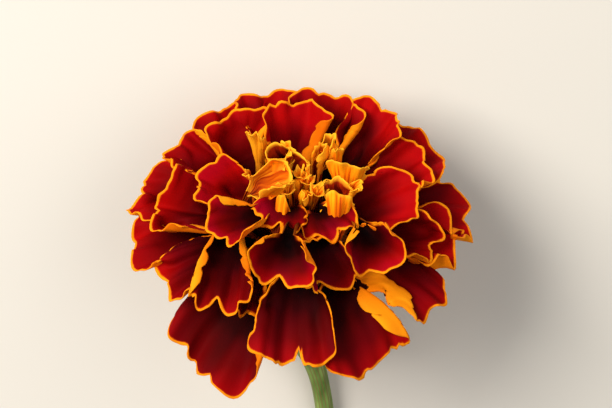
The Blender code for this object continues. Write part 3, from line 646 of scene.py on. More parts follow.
# ---------------------------------------------------------------------------------------------
# Young florets: the innermost ray florets have not opened yet.  They stand round the sunk centre
# as half rolled scoops, cups and tubes, thin and golden on both faces, flushed orange inside.
# Rows as for the ray petals, but without a radius: each stands at its shift from the axis.
young_florets = [
    (-25, 15.6, 88, 8, 2.2, 60, dict(seed=1, shift=(-7.0, 6.2), ripe=1, ruffle=0.3, painted_shading=-1.2)),
    (100, 12.2, 28, 7, 5.0, 105, dict(seed=2, shift=(-1.2, 0.9), ripe=0.6, ruffle=0.3, recurve=0.2)),
    (-145, 13.8, 82, 7, 4.4, 165, dict(seed=3, shift=(-4.4, 5.4), ripe=0.0, ruffle=0.1)),
    (178, 13.8, 85, 6, 2.8, 110, dict(seed=4, shift=(-0.6, 3.4), ripe=0.0, ruffle=0.2)),
    (4, 12.9, 104, 7, 0.9, 60, dict(seed=5, shift=(0.5, 2.4), ripe=1, ruffle=0.3)),
    (150, 13.8, 86, 7, 2.0, 160, dict(seed=6, shift=(3.0, 6.0), ripe=0.5, ruffle=0.2)),
    (120, 14.3, 80, 7, 1.8, 160, dict(seed=7, shift=(4.9, 7.0), ripe=0.3, ruffle=0.2)),
    (0, 13.6, 92, 7, 1.5, 150, dict(seed=8, shift=(5.4, 4.8), ripe=0.5, ruffle=0.2)),
    (-14, 13.2, 104, 7, 4.4, 70, dict(seed=9, shift=(6.6, 2.4), ripe=1, ruffle=0.35, corner=0.1)),
    (178, 12.0, 78, 4, 3.0, 105, dict(seed=10, shift=(5.0, 0.6), ripe=0.0, ruffle=0.2)),
    (-4, 12.8, 146, 6.8, 4.5, 100,
     dict(seed=11, shift=(5.4, -3.0), ripe=1, ruffle=0.2, pleats=0.2, recurve=0.2, shoulder=1.2,
          throat=1.2, pull=0.1, painted_shading=0.8)),
    (-20, 12.4, 146, 6.2, 4.4, 90,
     dict(seed=12, shift=(-1.8, -3.4), ripe=0.4, ruffle=0.5, pleats=0.25, recurve=0.2, shoulder=1.2,
          throat=0.9, pull=0.1, painted_shading=1.8)),
    (-40, 11.9, 86, 6, 1.4, 80, dict(seed=13, shift=(-8.0, 1.2), ripe=1, ruffle=0.3)),
    (-172, 14.0, 84, 7, 1.7, 120, dict(seed=14, shift=(-2.2, 5.8), ripe=1, ruffle=0.3)),
    (75, 11.8, 70, 5, 1.8, 120, dict(seed=15, shift=(9.0, -0.8), ripe=0.8, ruffle=0.3)),
    (-10, 12.0, 80, 5, 1.3, 140, dict(seed=16, shift=(0.8, -2.6), ripe=0.8, ruffle=0.3)),
]
young_thickness = 0.22
young_grid = (26, 41)
young_claw_rows = 6


def golden_floret_material():
    """Thin golden petal tissue: soft and slightly waxy, and palest along the free edge.  Painted
    shade deepens it to orange and then to dark red toward each floret's base."""
    material = bare_material("golden floret tissue")
    tree = material.node_tree
    names = ("edge_mm", "along", "across", "back", "tone", "ripe", "painted_shading")
    edge, along, across, back, tone, ripe, painted_shading = (
        add(tree, "ShaderNodeAttribute", attribute_name=name).outputs["Fac"] for name in names)
    place = add(tree, "ShaderNodeTexCoord").outputs["Object"]

    # ribs run along each floret, about 0.7 mm apart
    rib_x = add(tree, "ShaderNodeMath", {0: across, 1: 7.0}, operation="MULTIPLY")
    rib_z = add(tree, "ShaderNodeMath", {0: tone, 1: 40.0}, operation="MULTIPLY")
    rib_at = add(tree, "ShaderNodeCombineXYZ", {"X": rib_x, "Y": along, "Z": rib_z})
    ribs = add(tree, "ShaderNodeTexNoise", {"Vector": rib_at, "Scale": 1.0, "Detail": 2.0})
    ribs = add(tree, "ShaderNodeMapRange", {"Value": ribs, "From Min": 0.3, "From Max": 0.7,
               "To Min": 0.1, "To Max": 0.8})

    # painted shade: each floret darkens toward its base, and its own painted shade darkens it or, below 0,
    # painted light brightens it, on its pale rim too; an unripe floret is still red inside; the rim is
    # palest
    shade = add(tree, "ShaderNodeMath", {0: along, 1: 0.6, 2: ribs}, operation="MULTIPLY_ADD")
    shade = add(tree, "ShaderNodeMath", {0: painted_shading, 1: -0.16, 2: shade}, operation="MULTIPLY_ADD")
    red = add(tree, "ShaderNodeValToRGB", {"Fac": shade},
              ((0.4, "1C0001"), (0.7, "5A0A02"), (1.0, "9A2404")))
    inside = add(tree, "ShaderNodeValToRGB", {"Fac": shade},
                 ((0.3, "4A0A02"), (0.55, "B03A06"), (0.8, "F07008"), (1.0, "FFA818")))
    inside = add(tree, "ShaderNodeMix", {0: ripe, 6: red, 7: inside}, data_type="RGBA")
    outside = add(tree, "ShaderNodeValToRGB", {"Fac": shade},
                  ((0.34, "6A1E02"), (0.56, "C85004"), (0.78, "FA8206"), (1.0, "FFA210")))
    skin = add(tree, "ShaderNodeMix", {0: back, 6: inside, 7: outside}, data_type="RGBA")
    rim = add(tree, "ShaderNodeMapRange", {"Value": edge, "From Min": 0.7, "From Max": 0.1})
    rim = add(tree, "ShaderNodeMath", {0: painted_shading, 1: -0.4, 2: rim}, operation="MULTIPLY_ADD", use_clamp=True)
    skin = add(tree, "ShaderNodeMix", {0: rim, 6: skin, 7: colour("FFB424")}, data_type="RGBA")

    # the cells of the skin, drawn coarser than life at 0.2 mm
    grain = add(tree, "ShaderNodeTexNoise", {"Vector": place, "Scale": 5.0 / MM, "Detail": 1.0})
    relief = add(tree, "ShaderNodeMath", {0: grain, 1: 0.3, 2: ribs}, operation="MULTIPLY_ADD")
    bump = add(tree, "ShaderNodeBump", {"Height": relief, "Strength": 0.35, "Distance": 0.2 * MM})
    shader = add(tree, "ShaderNodeBsdfPrincipled", {"Base Color": skin, "Roughness": 0.6, "IOR": 1.4,
                 "Specular IOR Level": 0.06, "Normal": bump})
    add(tree, "ShaderNodeOutputMaterial", {"Surface": shader})
    return material


young_blades = []
for az, z, tilt, length, width, wrap, own in young_florets:
    extras = dict(throat=min(1.0, 0.6 * width), crinkle=0.1)
    extras.update(own)
    values = petal(az, 0.0, z, tilt, length, width, wrap, extras)
    young_blades.append(petal_sheet(values, *young_grid, young_claw_rows))
part_blades(young_blades, gap=young_thickness + 0.1, rounds=8, under=petal_rows["ray_petals_upper"])
golden = golden_floret_material()
young = petals_object("young_florets", young_blades, [laid(blade["points"]) for blade in young_blades],
                      young_thickness)
outward_faces(young)
young.data.materials.append(golden)
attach(young, "root")
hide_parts("disc_florets")


# ---------------------------------------------------------------------------------------------
# Disc florets: little golden tubes that fill the sunk centre.  Each opens in a mouth of five
# points with a forked stigma in it; the ones nearest the axis are still closed buds.
floret_sides, floret_lobes = 15, 5
floret_wall = 0.13
# rings up the tube: height, radius, how far the lobes stand out and how far they droop between
open_rings = [(h, r, 0.16 * (h / 5.1) ** 4, 0.75 * (h / 5.1) ** 8)
              for h, r in ((0.0, 0.36), (1.6, 0.40), (3.0, 0.46), (3.8, 0.60), (4.4, 0.84), (4.8, 1.05),
                           (5.1, 1.30))]
bud_rings = [(0.0, 0.36, 0, 0), (1.6, 0.40, 0, 0), (2.8, 0.5, 0.03, 0), (3.6, 0.66, 0.06, 0),
             (4.2, 0.62, 0.1, 0), (4.6, 0.38, 0.12, 0), (4.75, 0.1, 0, 0)]
stigma_arm = [(0.12, 0, 2.4), (0.14, 0, 4.6), (0.5, 0.05, 5.7), (1.05, 0.1, 6.2), (1.45, 0.1, 5.9)]
stigma_radii = (0.12, 0.13, 0.16, 0.15, 0.08)
stigma_sides = 6
golden_angle = math.radians(137.508)


def tube_faces(rings, sides):
    """Faces of a tube of rings, one after the other, closed at both ends."""
    faces = []
    for i in range(rings - 1):
        for n in range(sides):
            m = (n + 1) % sides
            a, b = i * sides, (i + 1) * sides
            faces.append((a + n, a + m, b + m, b + n))
    faces.append(tuple(range(sides - 1, -1, -1)))
    faces.append(tuple((rings - 1) * sides + n for n in range(sides)))
    return faces


def lobed_ring(height, radius, lobe, droop):
    """One ring of a floret's wall, whose lobes stand out and droop between."""
    ring = []
    for n in range(floret_sides):
        a = 2 * math.pi * n / floret_sides
        point = math.cos(floret_lobes * a)
        r = radius * (1 + lobe * point)
        ring.append((r * math.cos(a), r * math.sin(a), height - droop * (1 - point) / 2))
    return ring


def rod(points, radii, sides):
    """The rings of a round rod through points."""
    verts = []
    for i, (point, radius) in enumerate(zip(points, radii)):
        ahead = (Vector(points[min(i + 1, len(points) - 1)]) - Vector(points[max(i - 1, 0)])).normalized()
        first = ahead.orthogonal().normalized()
        second = ahead.cross(first)
        for n in range(sides):
            a = 2 * math.pi * n / sides
            verts.append(tuple(Vector(point) + radius * (math.cos(a) * first + math.sin(a) * second)))
    return verts


def floret_object(name, rings, is_open):
    """One disc floret in millimetres about +Z, with its material's attributes."""
    top = rings[-1][0]
    walls = [(height, radius, lobe, droop, 1.0) for height, radius, lobe, droop in rings]
    if is_open:
        walls += [(height, radius - floret_wall, lobe, droop, 0.0)
                  for height, radius, lobe, droop in reversed(rings[2:])]
    verts, edge, along, back = [], [], [], []
    for height, radius, lobe, droop, outer in walls:
        verts += lobed_ring(height, radius, lobe, droop)
        # a closed bud has no free edge near
        edge += [top - height if is_open else 2.0] * floret_sides
        along += [height / top] * floret_sides
        back += [outer] * floret_sides
    faces = tube_faces(len(walls), floret_sides)
    for sign in (-1, 1) if is_open else ():     # the fork's two arms
        arm = rod([(sign * x, y, z) for x, y, z in stigma_arm], stigma_radii, stigma_sides)
        arm_faces = tube_faces(len(stigma_arm), stigma_sides)
        faces += [tuple(len(verts) + k for k in face) for face in arm_faces]
        verts += arm
        edge += [0.3] * len(arm)
        along += [1.0] * len(arm)
        back += [1.0] * len(arm)
    stored = {"edge_mm": edge, "along": along, "back": back, "ripe": [1.0] * len(verts),
              "across": [math.atan2(v[1], v[0]) / math.pi for v in verts]}
    return placed(name, smooth_mesh(name, verts, faces, stored))


def geometry_tree(name, inputs):
    """A new geometry tree with inputs of these names and kinds, and the sockets that give them."""
    tree = bpy.data.node_groups.new(name, "GeometryNodeTree")
    tree.is_modifier = True
    for label, kind in inputs.items():
        tree.interface.new_socket(label, in_out="INPUT", socket_type="NodeSocket" + kind)
    tree.interface.new_socket("Geometry", in_out="OUTPUT", socket_type="NodeSocketGeometry")
    return tree, add(tree, "NodeGroupInput").outputs


def grown(name, tree, values):
    """The plain mesh object that a geometry tree makes from its named inputs."""
    obj = placed(name, bpy.data.meshes.new(name))
    modifier = obj.modifiers.new(name, "NODES")
    modifier.node_group = tree
    for item in tree.interface.items_tree:
        if item.in_out == "INPUT":
            modifier[item.identifier] = values[item.name]
    graph = bpy.context.evaluated_depsgraph_get()
    mesh = bpy.data.meshes.new_from_object(obj.evaluated_get(graph))
    obj.modifiers.clear()
    obj.data = mesh
    return obj


def disc_tree():
    """Geometry Nodes: florets on a disc by the sunflower rule, leaning out toward its edge."""
    tree, given = geometry_tree("florets on a disc", {
        "Bud": "Object", "Open Floret": "Object", "Count": "Int", "Bud Count": "Int",
        "Disc Radius": "Float", "Foot Height": "Float", "Lean": "Float", "Seed": "Int",
        "Tissue": "Material"})

    # each foot stands a golden angle on from the last, out by the root of its share of the count
    index = add(tree, "GeometryNodeInputIndex")
    turn = add(tree, "ShaderNodeMath", {0: index, 1: golden_angle}, operation="MULTIPLY")
    cos = add(tree, "ShaderNodeMath", {0: turn}, operation="COSINE")
    sin = add(tree, "ShaderNodeMath", {0: turn}, operation="SINE")
    midway = add(tree, "ShaderNodeMath", {0: index, 1: 0.5})
    share = add(tree, "ShaderNodeMath", {0: midway, 1: given["Count"]}, operation="DIVIDE")
    root = add(tree, "ShaderNodeMath", {0: share}, operation="SQRT")
    radius = add(tree, "ShaderNodeMath", {0: root, 1: given["Disc Radius"]}, operation="MULTIPLY")
    foot_x = add(tree, "ShaderNodeMath", {0: radius, 1: cos}, operation="MULTIPLY")
    foot_y = add(tree, "ShaderNodeMath", {0: radius, 1: sin}, operation="MULTIPLY")
    foot = add(tree, "ShaderNodeCombineXYZ", {"X": foot_x, "Y": foot_y, "Z": given["Foot Height"]})
    points = add(tree, "GeometryNodePoints", {"Count": given["Count"], "Position": foot})

    # it leans out and a little to a side, is turned at random, and varies in size
    lean = add(tree, "ShaderNodeMath", {0: root, 1: given["Lean"]}, operation="MULTIPLY")
    lean_x = add(tree, "ShaderNodeMath", {0: lean, 1: cos}, operation="MULTIPLY")
    lean_y = add(tree, "ShaderNodeMath", {0: lean, 1: sin}, operation="MULTIPLY")
    ahead = add(tree, "ShaderNodeCombineXYZ", {"X": lean_x, "Y": lean_y, "Z": 1.0})
    wobble = add(tree, "FunctionNodeRandomValue", {0: (-0.16, -0.16, 0.0), 1: (0.16, 0.16, 0.0),
                 "Seed": given["Seed"]}, data_type="FLOAT_VECTOR")
    ahead = add(tree, "ShaderNodeVectorMath", {0: ahead, 1: wobble})
    stand = add(tree, "FunctionNodeAlignRotationToVector", {"Vector": ahead}, axis="Z")
    spin = add(tree, "FunctionNodeRandomValue", {2: 0.0, 3: 6.283, "Seed": given["Seed"]})
    spun = add(tree, "FunctionNodeAxisAngleToRotation", {"Axis": (0, 0, 1), "Angle": spin})
    rotation = add(tree, "FunctionNodeRotateRotation", {0: stand, 1: spun}, rotation_space="LOCAL")
    size = add(tree, "FunctionNodeRandomValue", {2: 0.86, 3: 1.22, "Seed": given["Seed"]})

    is_bud = add(tree, "FunctionNodeCompare", {2: index, 3: given["Bud Count"]}, data_type="INT",
                 operation="LESS_THAN")
    is_open = add(tree, "FunctionNodeBooleanMath", {0: is_bud}, operation="NOT")
    join = add(tree, "GeometryNodeJoinGeometry")
    for name, chosen in (("Bud", is_bud), ("Open Floret", is_open)):
        shape = add(tree, "GeometryNodeObjectInfo", {"Object": given[name]}).outputs["Geometry"]
        stood = add(tree, "GeometryNodeInstanceOnPoints", {"Points": points, "Selection": chosen,
                    "Instance": shape, "Rotation": rotation, "Scale": size})
        tree.links.new(stood.outputs[0], join.inputs[0])
    real = add(tree, "GeometryNodeRealizeInstances", {0: join})
    done = add(tree, "GeometryNodeSetMaterial", {"Geometry": real, "Material": given["Tissue"]})
    add(tree, "NodeGroupOutput", {0: done})
    return tree


def lay_mesh(obj):
    """Take a mesh from the flower's own frame, in mm, to where it lies, in metres."""
    spots = np.zeros(len(obj.data.vertices) * 3)
    obj.data.vertices.foreach_get("co", spots)
    obj.data.vertices.foreach_set("co", (laid(spots.reshape(-1, 3)) * MM).reshape(-1))
    obj.data.update()


bud = floret_object("closed_floret", bud_rings, False)
open_floret = floret_object("open_floret", open_rings, True)
florets = grown("disc_florets_open", disc_tree(), {
    "Bud": bud, "Open Floret": open_floret, "Count": 7, "Bud Count": 3, "Disc Radius": 1.9,
    "Foot Height": 5.8, "Lean": 0.12, "Seed": 2, "Tissue": golden})
for shape in (bud, open_floret):
    bpy.data.objects.remove(shape)
lay_mesh(florets)
outward_faces(florets)
florets.data.shade_smooth()
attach(florets, "root")
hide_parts("disc_florets")


# ---------------------------------------------------------------------------------------------
# Involucre: the green cup under the head, of nine bracts grown together edge to edge with only
# their points free.  It is ribbed, slightly waxy, and dotted with oil glands between the ribs.
cup_bracts, points_per_bract = 9, 14
cup_rows, bract_point_rows = 40, 6
cup_top, cup_bottom, cup_floor = -8.4, -25.0, -12.9
cup_mouth, cup_bore = 6.3, 5.1
cup_outline = [(cup_bottom, 2.5), (-24.6, 3.0), (-23.5, 3.6), (-22.0, 4.35), (-20.5, 4.85),
               (-18.4, 5.25), (-16.0, 5.5), (-13.5, 5.7), (-11.0, 5.9), (cup_top, cup_mouth)]
rib_height, rib_half_width = 0.34, 0.22     # the width as a share of half a bract
rib_grows_over = 12.0                       # from the bottom of the cup


def cup_object(name):
    """The closed cup in the flower's own frame, with where each point is on its bract: how far off
    its rib, and how far up it, from 0 at the bottom over 1 at the mouth to 2 at its free point."""
    heights, radii = zip(*cup_outline)
    sides = cup_bracts * points_per_bract
    verts, on_bract, up_bract, faces = [(0.0, 0.0, cup_bottom)], [0.0], [0.0], []

    def ring(radius_at, height_at, up):
        for n in range(sides):
            a = 2 * math.pi * n / sides
            # how far off its rib: -1 and 1 in the seams
            off = (n % points_per_bract) / points_per_bract * 2 - 1
            r, z = radius_at(off), height_at(off)
            verts.append((r * math.sin(a), -r * math.cos(a), z))
            on_bract.append(off)
            up_bract.append(up)

    # the ribbed wall, the bracts' free points outside and inside, then the mouth and the bore
    for row in range(cup_rows + 1):
        z = cup_bottom + (cup_top - cup_bottom) * (row / cup_rows)
        r = float(np.interp(z, heights, radii))
        rib = rib_height * math.sin(math.pi * min(1.0, (z - cup_bottom) / rib_grows_over) / 2)
        ring(lambda f: r + rib * (0.55 * math.exp(-(f / rib_half_width) ** 2) - 0.6 * abs(f) ** 6),
             lambda f: z, row / cup_rows)
    for step in range(1, bract_point_rows + 1):
        share = step / bract_point_rows
        ring(lambda f: cup_mouth + 0.18 + (0.95 * share - 0.25 * share ** 2) * (1 - abs(f)) ** 0.8,
             lambda f: cup_top + 0.15 * share + 2.1 * share * (1 - abs(f)) ** 0.9, 1 + share)
    ring(lambda f: cup_mouth - 0.1 + 0.6 * (1 - abs(f)) ** 0.8,
         lambda f: cup_top + 0.1 + 1.9 * (1 - abs(f)) ** 0.9, 2.0)
    for radius, z, up in ((cup_bore + 0.5, cup_top - 0.2, 1.0), (cup_bore, cup_top - 1.4, 0.9),
                          (cup_bore - 0.3, cup_floor, 0.7)):
        ring(lambda f: radius, lambda f: z, up)
    verts.append((0.0, 0.0, cup_floor))
    on_bract.append(0.0)
    up_bract.append(0.7)
    rings = (len(verts) - 2) // sides
    for n in range(sides):
        m = (n + 1) % sides
        faces.append((0, 1 + m, 1 + n))
        for i in range(rings - 1):
            a, b = 1 + i * sides, 1 + (i + 1) * sides
            faces.append((a + n, a + m, b + m, b + n))
        last = 1 + (rings - 1) * sides
        faces.append((last + n, last + m, len(verts) - 1))
    return placed(name, smooth_mesh(name, verts, faces, {"on_bract": on_bract, "up_bract": up_bract}))


def leaf_skin_material(name, dark, mid, light, seam):
    """Green plant skin: a soft wax gloss over mottled green, with a tint along seams and ribs."""
    material = bare_material(name)
    tree = material.node_tree
    place = add(tree, "ShaderNodeTexCoord").outputs["Object"]
    off_rib = add(tree, "ShaderNodeAttribute", attribute_name="on_bract").outputs["Fac"]

    # mottled in patches about 1.4 mm wide, drawn out lengthwise
    stretched = add(tree, "ShaderNodeMapping", {"Vector": place, "Scale": (1.0, 0.35, 1.0)})
    mottle = add(tree, "ShaderNodeTexNoise", {"Vector": stretched, "Scale": 0.7 / MM, "Detail": 4.0})
    green = add(tree, "ShaderNodeValToRGB", {"Fac": mottle}, ((0.3, dark), (0.52, mid), (0.75, light)))
    side = add(tree, "ShaderNodeMath", {0: off_rib}, operation="ABSOLUTE")
    side = add(tree, "ShaderNodeMapRange", {"Value": side, "From Min": 0.55, "From Max": 1.0})
    side = add(tree, "ShaderNodeMath", {0: side, 1: 0.75}, operation="MULTIPLY")
    skin = add(tree, "ShaderNodeMix", {0: side, 6: green, 7: colour(seam)}, data_type="RGBA")

    # the skin's grain is about 0.26 mm wide
    fine = add(tree, "ShaderNodeTexNoise", {"Vector": stretched, "Scale": 3.8 / MM, "Detail": 2.0})
    bump = add(tree, "ShaderNodeBump", {"Height": fine, "Strength": 0.3, "Distance": 0.12 * MM})
    gloss = add(tree, "ShaderNodeMapRange", {"Value": mottle, "To Min": 0.42, "To Max": 0.62})
    shader = add(tree, "ShaderNodeBsdfPrincipled", {"Base Color": skin, "Roughness": gloss, "IOR": 1.42,
                 "Specular IOR Level": 0.4, "Normal": bump})
    add(tree, "ShaderNodeOutputMaterial", {"Surface": shader})
    return material


def gland_material():
    """Oil glands: amber blisters under a thin glossy skin, speckled at 0.4 mm."""
    material = bare_material("amber oil gland")
    tree = material.node_tree
    place = add(tree, "ShaderNodeTexCoord").outputs["Object"]
    speck = add(tree, "ShaderNodeTexNoise", {"Vector": place, "Scale": 2.5 / MM})
    amber = add(tree, "ShaderNodeValToRGB", {"Fac": speck}, ((0.35, "5A3410"), (0.6, "8E5A1C")))
    shader = add(tree, "ShaderNodeBsdfPrincipled", {"Base Color": amber, "Roughness": 0.25, "IOR": 1.47})
    add(tree, "ShaderNodeOutputMaterial", {"Surface": shader})
    return material


def gland_tree():
    """Geometry Nodes: long low blisters strewn over the outside of the cup, between its ribs."""
    tree, given = geometry_tree("oil glands", {
        "Cup": "Object", "Spacing": "Float", "Gland Radius": "Float", "Gland Stretch": "Float",
        "Seed": "Int", "Blister": "Material"})
    cup = add(tree, "GeometryNodeObjectInfo", {"Object": given["Cup"]}).outputs["Geometry"]
    off_rib = add(tree, "GeometryNodeInputNamedAttribute", {"Name": "on_bract"}, data_type="FLOAT")
    off_rib = add(tree, "ShaderNodeMath", {0: off_rib}, operation="ABSOLUTE")
    height = add(tree, "GeometryNodeInputNamedAttribute", {"Name": "up_bract"}, data_type="FLOAT")
    beside = add(tree, "FunctionNodeCompare", {0: off_rib, 1: 0.3}, operation="GREATER_THAN")
    below = add(tree, "FunctionNodeCompare", {0: height, 1: 1.35}, operation="LESS_THAN")
    above = add(tree, "FunctionNodeCompare", {0: height, 1: 0.16}, operation="GREATER_THAN")
    allowed = add(tree, "FunctionNodeBooleanMath", {0: beside, 1: below}, operation="AND")
    allowed = add(tree, "FunctionNodeBooleanMath", {0: allowed, 1: above}, operation="AND")
    spread = add(tree, "GeometryNodeDistributePointsOnFaces", {"Mesh": cup, "Selection": allowed,
                 "Distance Min": given["Spacing"], "Density Max": 2.5, "Seed": given["Seed"]},
                 distribute_method="POISSON")
    ball = add(tree, "GeometryNodeMeshIcoSphere", {"Radius": given["Gland Radius"], "Subdivisions": 2})
    upright = add(tree, "FunctionNodeAlignRotationToVector", {"Vector": spread.outputs["Normal"]},
                  axis="Y", pivot_axis="Z")
    stretch = add(tree, "ShaderNodeCombineXYZ", {"X": 1.0, "Y": 0.55, "Z": given["Gland Stretch"]})
    vary = add(tree, "FunctionNodeRandomValue", {2: 0.6, 3: 1.15, "Seed": given["Seed"]})
    size = add(tree, "ShaderNodeVectorMath", {0: stretch, "Scale": vary}, operation="SCALE")
    stuck = add(tree, "GeometryNodeInstanceOnPoints", {"Points": spread, "Instance": ball,
                "Rotation": upright, "Scale": size})
    real = add(tree, "GeometryNodeRealizeInstances", {0: stuck})
    done = add(tree, "GeometryNodeSetMaterial", {"Geometry": real, "Material": given["Blister"]})
    add(tree, "NodeGroupOutput", {0: done})
    return tree


cup = cup_object("involucre_cup")
cup.data.materials.append(leaf_skin_material("waxy bract skin", "26420E", "47661C", "6C8A34", "5A3A1E"))
outward_faces(cup)
glands = grown("involucre_glands", gland_tree(), {
    "Cup": cup, "Spacing": 0.85, "Gland Radius": 0.15, "Gland Stretch": 2.3, "Seed": 6,
    "Blister": gland_material()})
outward_faces(glands)
glands.data.shade_smooth()
for piece in (cup, glands):
    lay_mesh(piece)
    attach(piece, "root")
    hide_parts("involucre")


# ---------------------------------------------------------------------------------------------
# Stem: the flower's stalk, swollen and hollow under the cup, ribbed lengthwise and tinged brown
# along its ribs.  It bends down from the head to lie along the table and ends in a clean cut.
stem_gap = 0.3                  # under the cup
stem_radius_top, stem_radius = 2.7, 1.55
stem_swelling = 13.0            # how far down from the cup it is swollen
stem_clearance = 0.02           # over the table
stem_neck = 5.0                 # straight under the cup
stem_turn_share = 0.92          # of the way down to the table, where the bend is drawn to
stem_bend_x, stem_end_x = 3.6, 4.2
stem_bend_length, stem_tail = 16.0, 34.0
bend_steps, tail_steps = 16, 8


def stem_path():
    """Points and radii along the stem, in mm where it lies: a bend, then a straight run."""
    top = Vector(laid((0.0, 0.0, cup_bottom - stem_gap)))
    rise = math.radians(axis_rise)
    back = Vector((0.0, -math.cos(rise), -math.sin(rise)))
    lie = cad_low[2] / MM + stem_radius + stem_clearance
    turn = top + back * ((top.z - lie) / math.sin(rise)) * stem_turn_share
    bends = [top, top + back * stem_neck, Vector((stem_bend_x, turn.y, lie)),
             Vector((stem_end_x, turn.y - stem_bend_length, lie))]
    points = []
    for n in range(bend_steps + 1):
        t = n / bend_steps
        points.append((1 - t) ** 3 * bends[0] + 3 * (1 - t) ** 2 * t * bends[1]
                      + 3 * (1 - t) * t * t * bends[2] + t ** 3 * bends[3])
    last, before = points[-1], points[-2]
    heading = Vector((last.x - before.x, last.y - before.y, 0.0)).normalized()
    points += [last + heading * (stem_tail * n / tail_steps) for n in range(1, tail_steps + 1)]
    swell = stem_radius_top - stem_radius
    radii = [stem_radius + swell * max(0.0, 1 - (p - top).length / stem_swelling) ** 1.5 for p in points]
    return points, radii


def stem_tree():
    """Geometry Nodes: a ribbed ring swept along a path and closed at both ends."""
    tree, given = geometry_tree("ribbed stalk", {
        "Path": "Object", "Steps": "Int", "Sides": "Int", "Ribs": "Float", "Rib Depth": "Float",
        "Skin": "Material"})
    path = add(tree, "GeometryNodeObjectInfo", {"Object": given["Path"]}).outputs["Geometry"]
    path = add(tree, "GeometryNodeResampleCurve", {"Curve": path, "Count": given["Steps"]})

    # the ring is drawn in between its ribs
    ring = add(tree, "GeometryNodeCurvePrimitiveCircle", {"Resolution": given["Sides"], "Radius": 1.0})
    index = add(tree, "GeometryNodeInputIndex")
    turn = add(tree, "ShaderNodeMath", {0: index, 1: given["Sides"]}, operation="DIVIDE")
    turn = add(tree, "ShaderNodeMath", {0: turn, 1: given["Ribs"]}, operation="MULTIPLY")
    turn = add(tree, "ShaderNodeMath", {0: turn, 1: 2 * math.pi}, operation="MULTIPLY")
    wave = add(tree, "ShaderNodeMath", {0: turn}, operation="COSINE")
    lower = add(tree, "ShaderNodeMath", {0: wave, 1: 1.0}, operation="SUBTRACT")
    swell = add(tree, "ShaderNodeMath", {0: lower, 1: given["Rib Depth"], 2: 1.0}, operation="MULTIPLY_ADD")
    spot = add(tree, "GeometryNodeInputPosition")
    spot = add(tree, "ShaderNodeVectorMath", {0: spot, "Scale": swell}, operation="SCALE")
    ribbed = add(tree, "GeometryNodeSetPosition", {"Geometry": ring, "Position": spot})
    ribbed = add(tree, "GeometryNodeStoreNamedAttribute", {"Geometry": ribbed, "Name": "on_bract",
                 "Value": wave}, data_type="FLOAT", domain="POINT")

    thick = add(tree, "GeometryNodeInputNamedAttribute", {"Name": "radius"}, data_type="FLOAT")
    stalk = add(tree, "GeometryNodeCurveToMesh", {"Curve": path, "Profile Curve": ribbed, "Scale": thick,
                "Fill Caps": True})
    smooth = add(tree, "GeometryNodeSetShadeSmooth", {0: stalk})
    real = add(tree, "GeometryNodeRealizeInstances", {0: smooth})
    done = add(tree, "GeometryNodeSetMaterial", {"Geometry": real, "Material": given["Skin"]})
    add(tree, "NodeGroupOutput", {0: done})
    return tree


points, radii = stem_path()
path = bpy.data.curves.new("stem_path", "CURVE")
path.dimensions = "3D"
spline = path.splines.new("POLY")
spline.points.add(len(points) - 1)
for knot, point, radius in zip(spline.points, points, radii):
    knot.co = (*(point * MM), 1.0)
    knot.radius = radius * MM
guide = placed("stem_path", path)
stalk_skin = leaf_skin_material("ribbed stalk skin", "4A6A28", "6E8C42", "90AA5C", "7A5A34")
stem = grown("stem_stalk", stem_tree(), {
    "Path": guide, "Steps": 120, "Sides": 48, "Ribs": 8.0, "Rib Depth": 0.05, "Skin": stalk_skin})
bpy.data.objects.remove(guide)
outward_faces(stem)
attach(stem, "root")
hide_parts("stem")


# ---------------------------------------------------------------------------------------------
# Table: a plain pale tabletop under the lowest petals and the stem, brushed with a matt paint
# that shows no gloss.
table_half = 1.5                # in metres
table_corners = [(x * table_half, y * table_half, cad_low[2])
                 for x, y in ((-1, -1), (1, -1), (1, 1), (-1, 1))]
table_mesh = bpy.data.meshes.new("table")
table_mesh.from_pydata(table_corners, [], [(0, 1, 2, 3)])
table = placed("table", table_mesh)
paint = bpy.data.materials.new("matt pale paint")
paint.use_nodes = True
paint.node_tree.nodes["Principled BSDF"].inputs["Base Color"].default_value = colour("D8D5CE")
paint.node_tree.nodes["Principled BSDF"].inputs["Roughness"].default_value = 0.9
table_mesh.materials.append(paint)


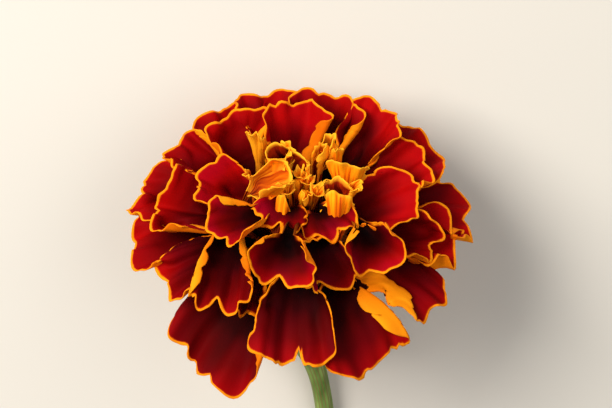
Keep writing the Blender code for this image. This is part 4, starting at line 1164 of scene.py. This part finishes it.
# ---------------------------------------------------------------------------------------------
# Camera: it looks at the face of the flower through a long lens, from the side of its lowest
# petals and 40 degrees off its axis, and keeps that axis upright in the frame.
view_rise = 50.0                # above the plane of the widest ring of petals
view_distance = 270.0
aim_right, aim_up = 0.76, 4.3   # of the middle of the frame, from the ring's centre


def laid_direction(vector):
    """A direction of the flower's own frame, turned as the flower lies."""
    return Vector(laid(vector) - laid((0.0, 0.0, 0.0))).normalized()


rise = math.radians(view_rise)
right = laid_direction((1.0, 0.0, 0.0))
up = laid_direction((0.0, math.sin(rise), math.cos(rise)))
toward = laid_direction((0.0, -math.cos(rise), math.sin(rise)))
aim = Vector(ring_centre) + right * aim_right + up * aim_up
spot = (aim + toward * view_distance) * MM
camera = placed("camera", bpy.data.cameras.new("camera"))
camera.data.lens = 103.9
camera.data.sensor_width = 36.0
camera.data.clip_start = 0.01
camera.matrix_world = Matrix(((right.x, up.x, toward.x, spot.x), (right.y, up.y, toward.y, spot.y),
                              (right.z, up.z, toward.z, spot.z), (0, 0, 0, 1)))
bpy.context.scene.camera = camera


# ---------------------------------------------------------------------------------------------
# Light: a soft warm key from the upper left of the flower's face, a weak fill from the right, and
# an even pale studio round them.
def soft_light(name, direction, distance, size, power, tint):
    """A square lamp of this size in metres and power in watts, that looks at the flower from a
    direction of its own frame, at a distance in mm."""
    lamp = bpy.data.lights.new(name, "AREA")
    lamp.size = size
    lamp.energy = power
    lamp.color = colour(tint)[:3]
    obj = placed(name, lamp)
    obj.location = (Vector(ring_centre) + laid_direction(direction) * distance) * MM
    obj.rotation_euler = laid_direction(direction).to_track_quat("Z", "Y").to_euler()


soft_light("key light", (-0.75, -0.4, 0.9), 600.0, 0.35, 5.3, "FFF8EE")
soft_light("fill light", (0.8, -0.7, 0.8), 700.0, 0.6, 2.0, "FFFAF2")
world = bpy.data.worlds.new("studio")
world.use_nodes = True
world.node_tree.nodes["Background"].inputs["Color"].default_value = colour("E6E9EC")
world.node_tree.nodes["Background"].inputs["Strength"].default_value = 0.25
bpy.context.scene.world = world
# colours are shown as they are, without a film curve
bpy.context.scene.view_settings.view_transform = "Standard"
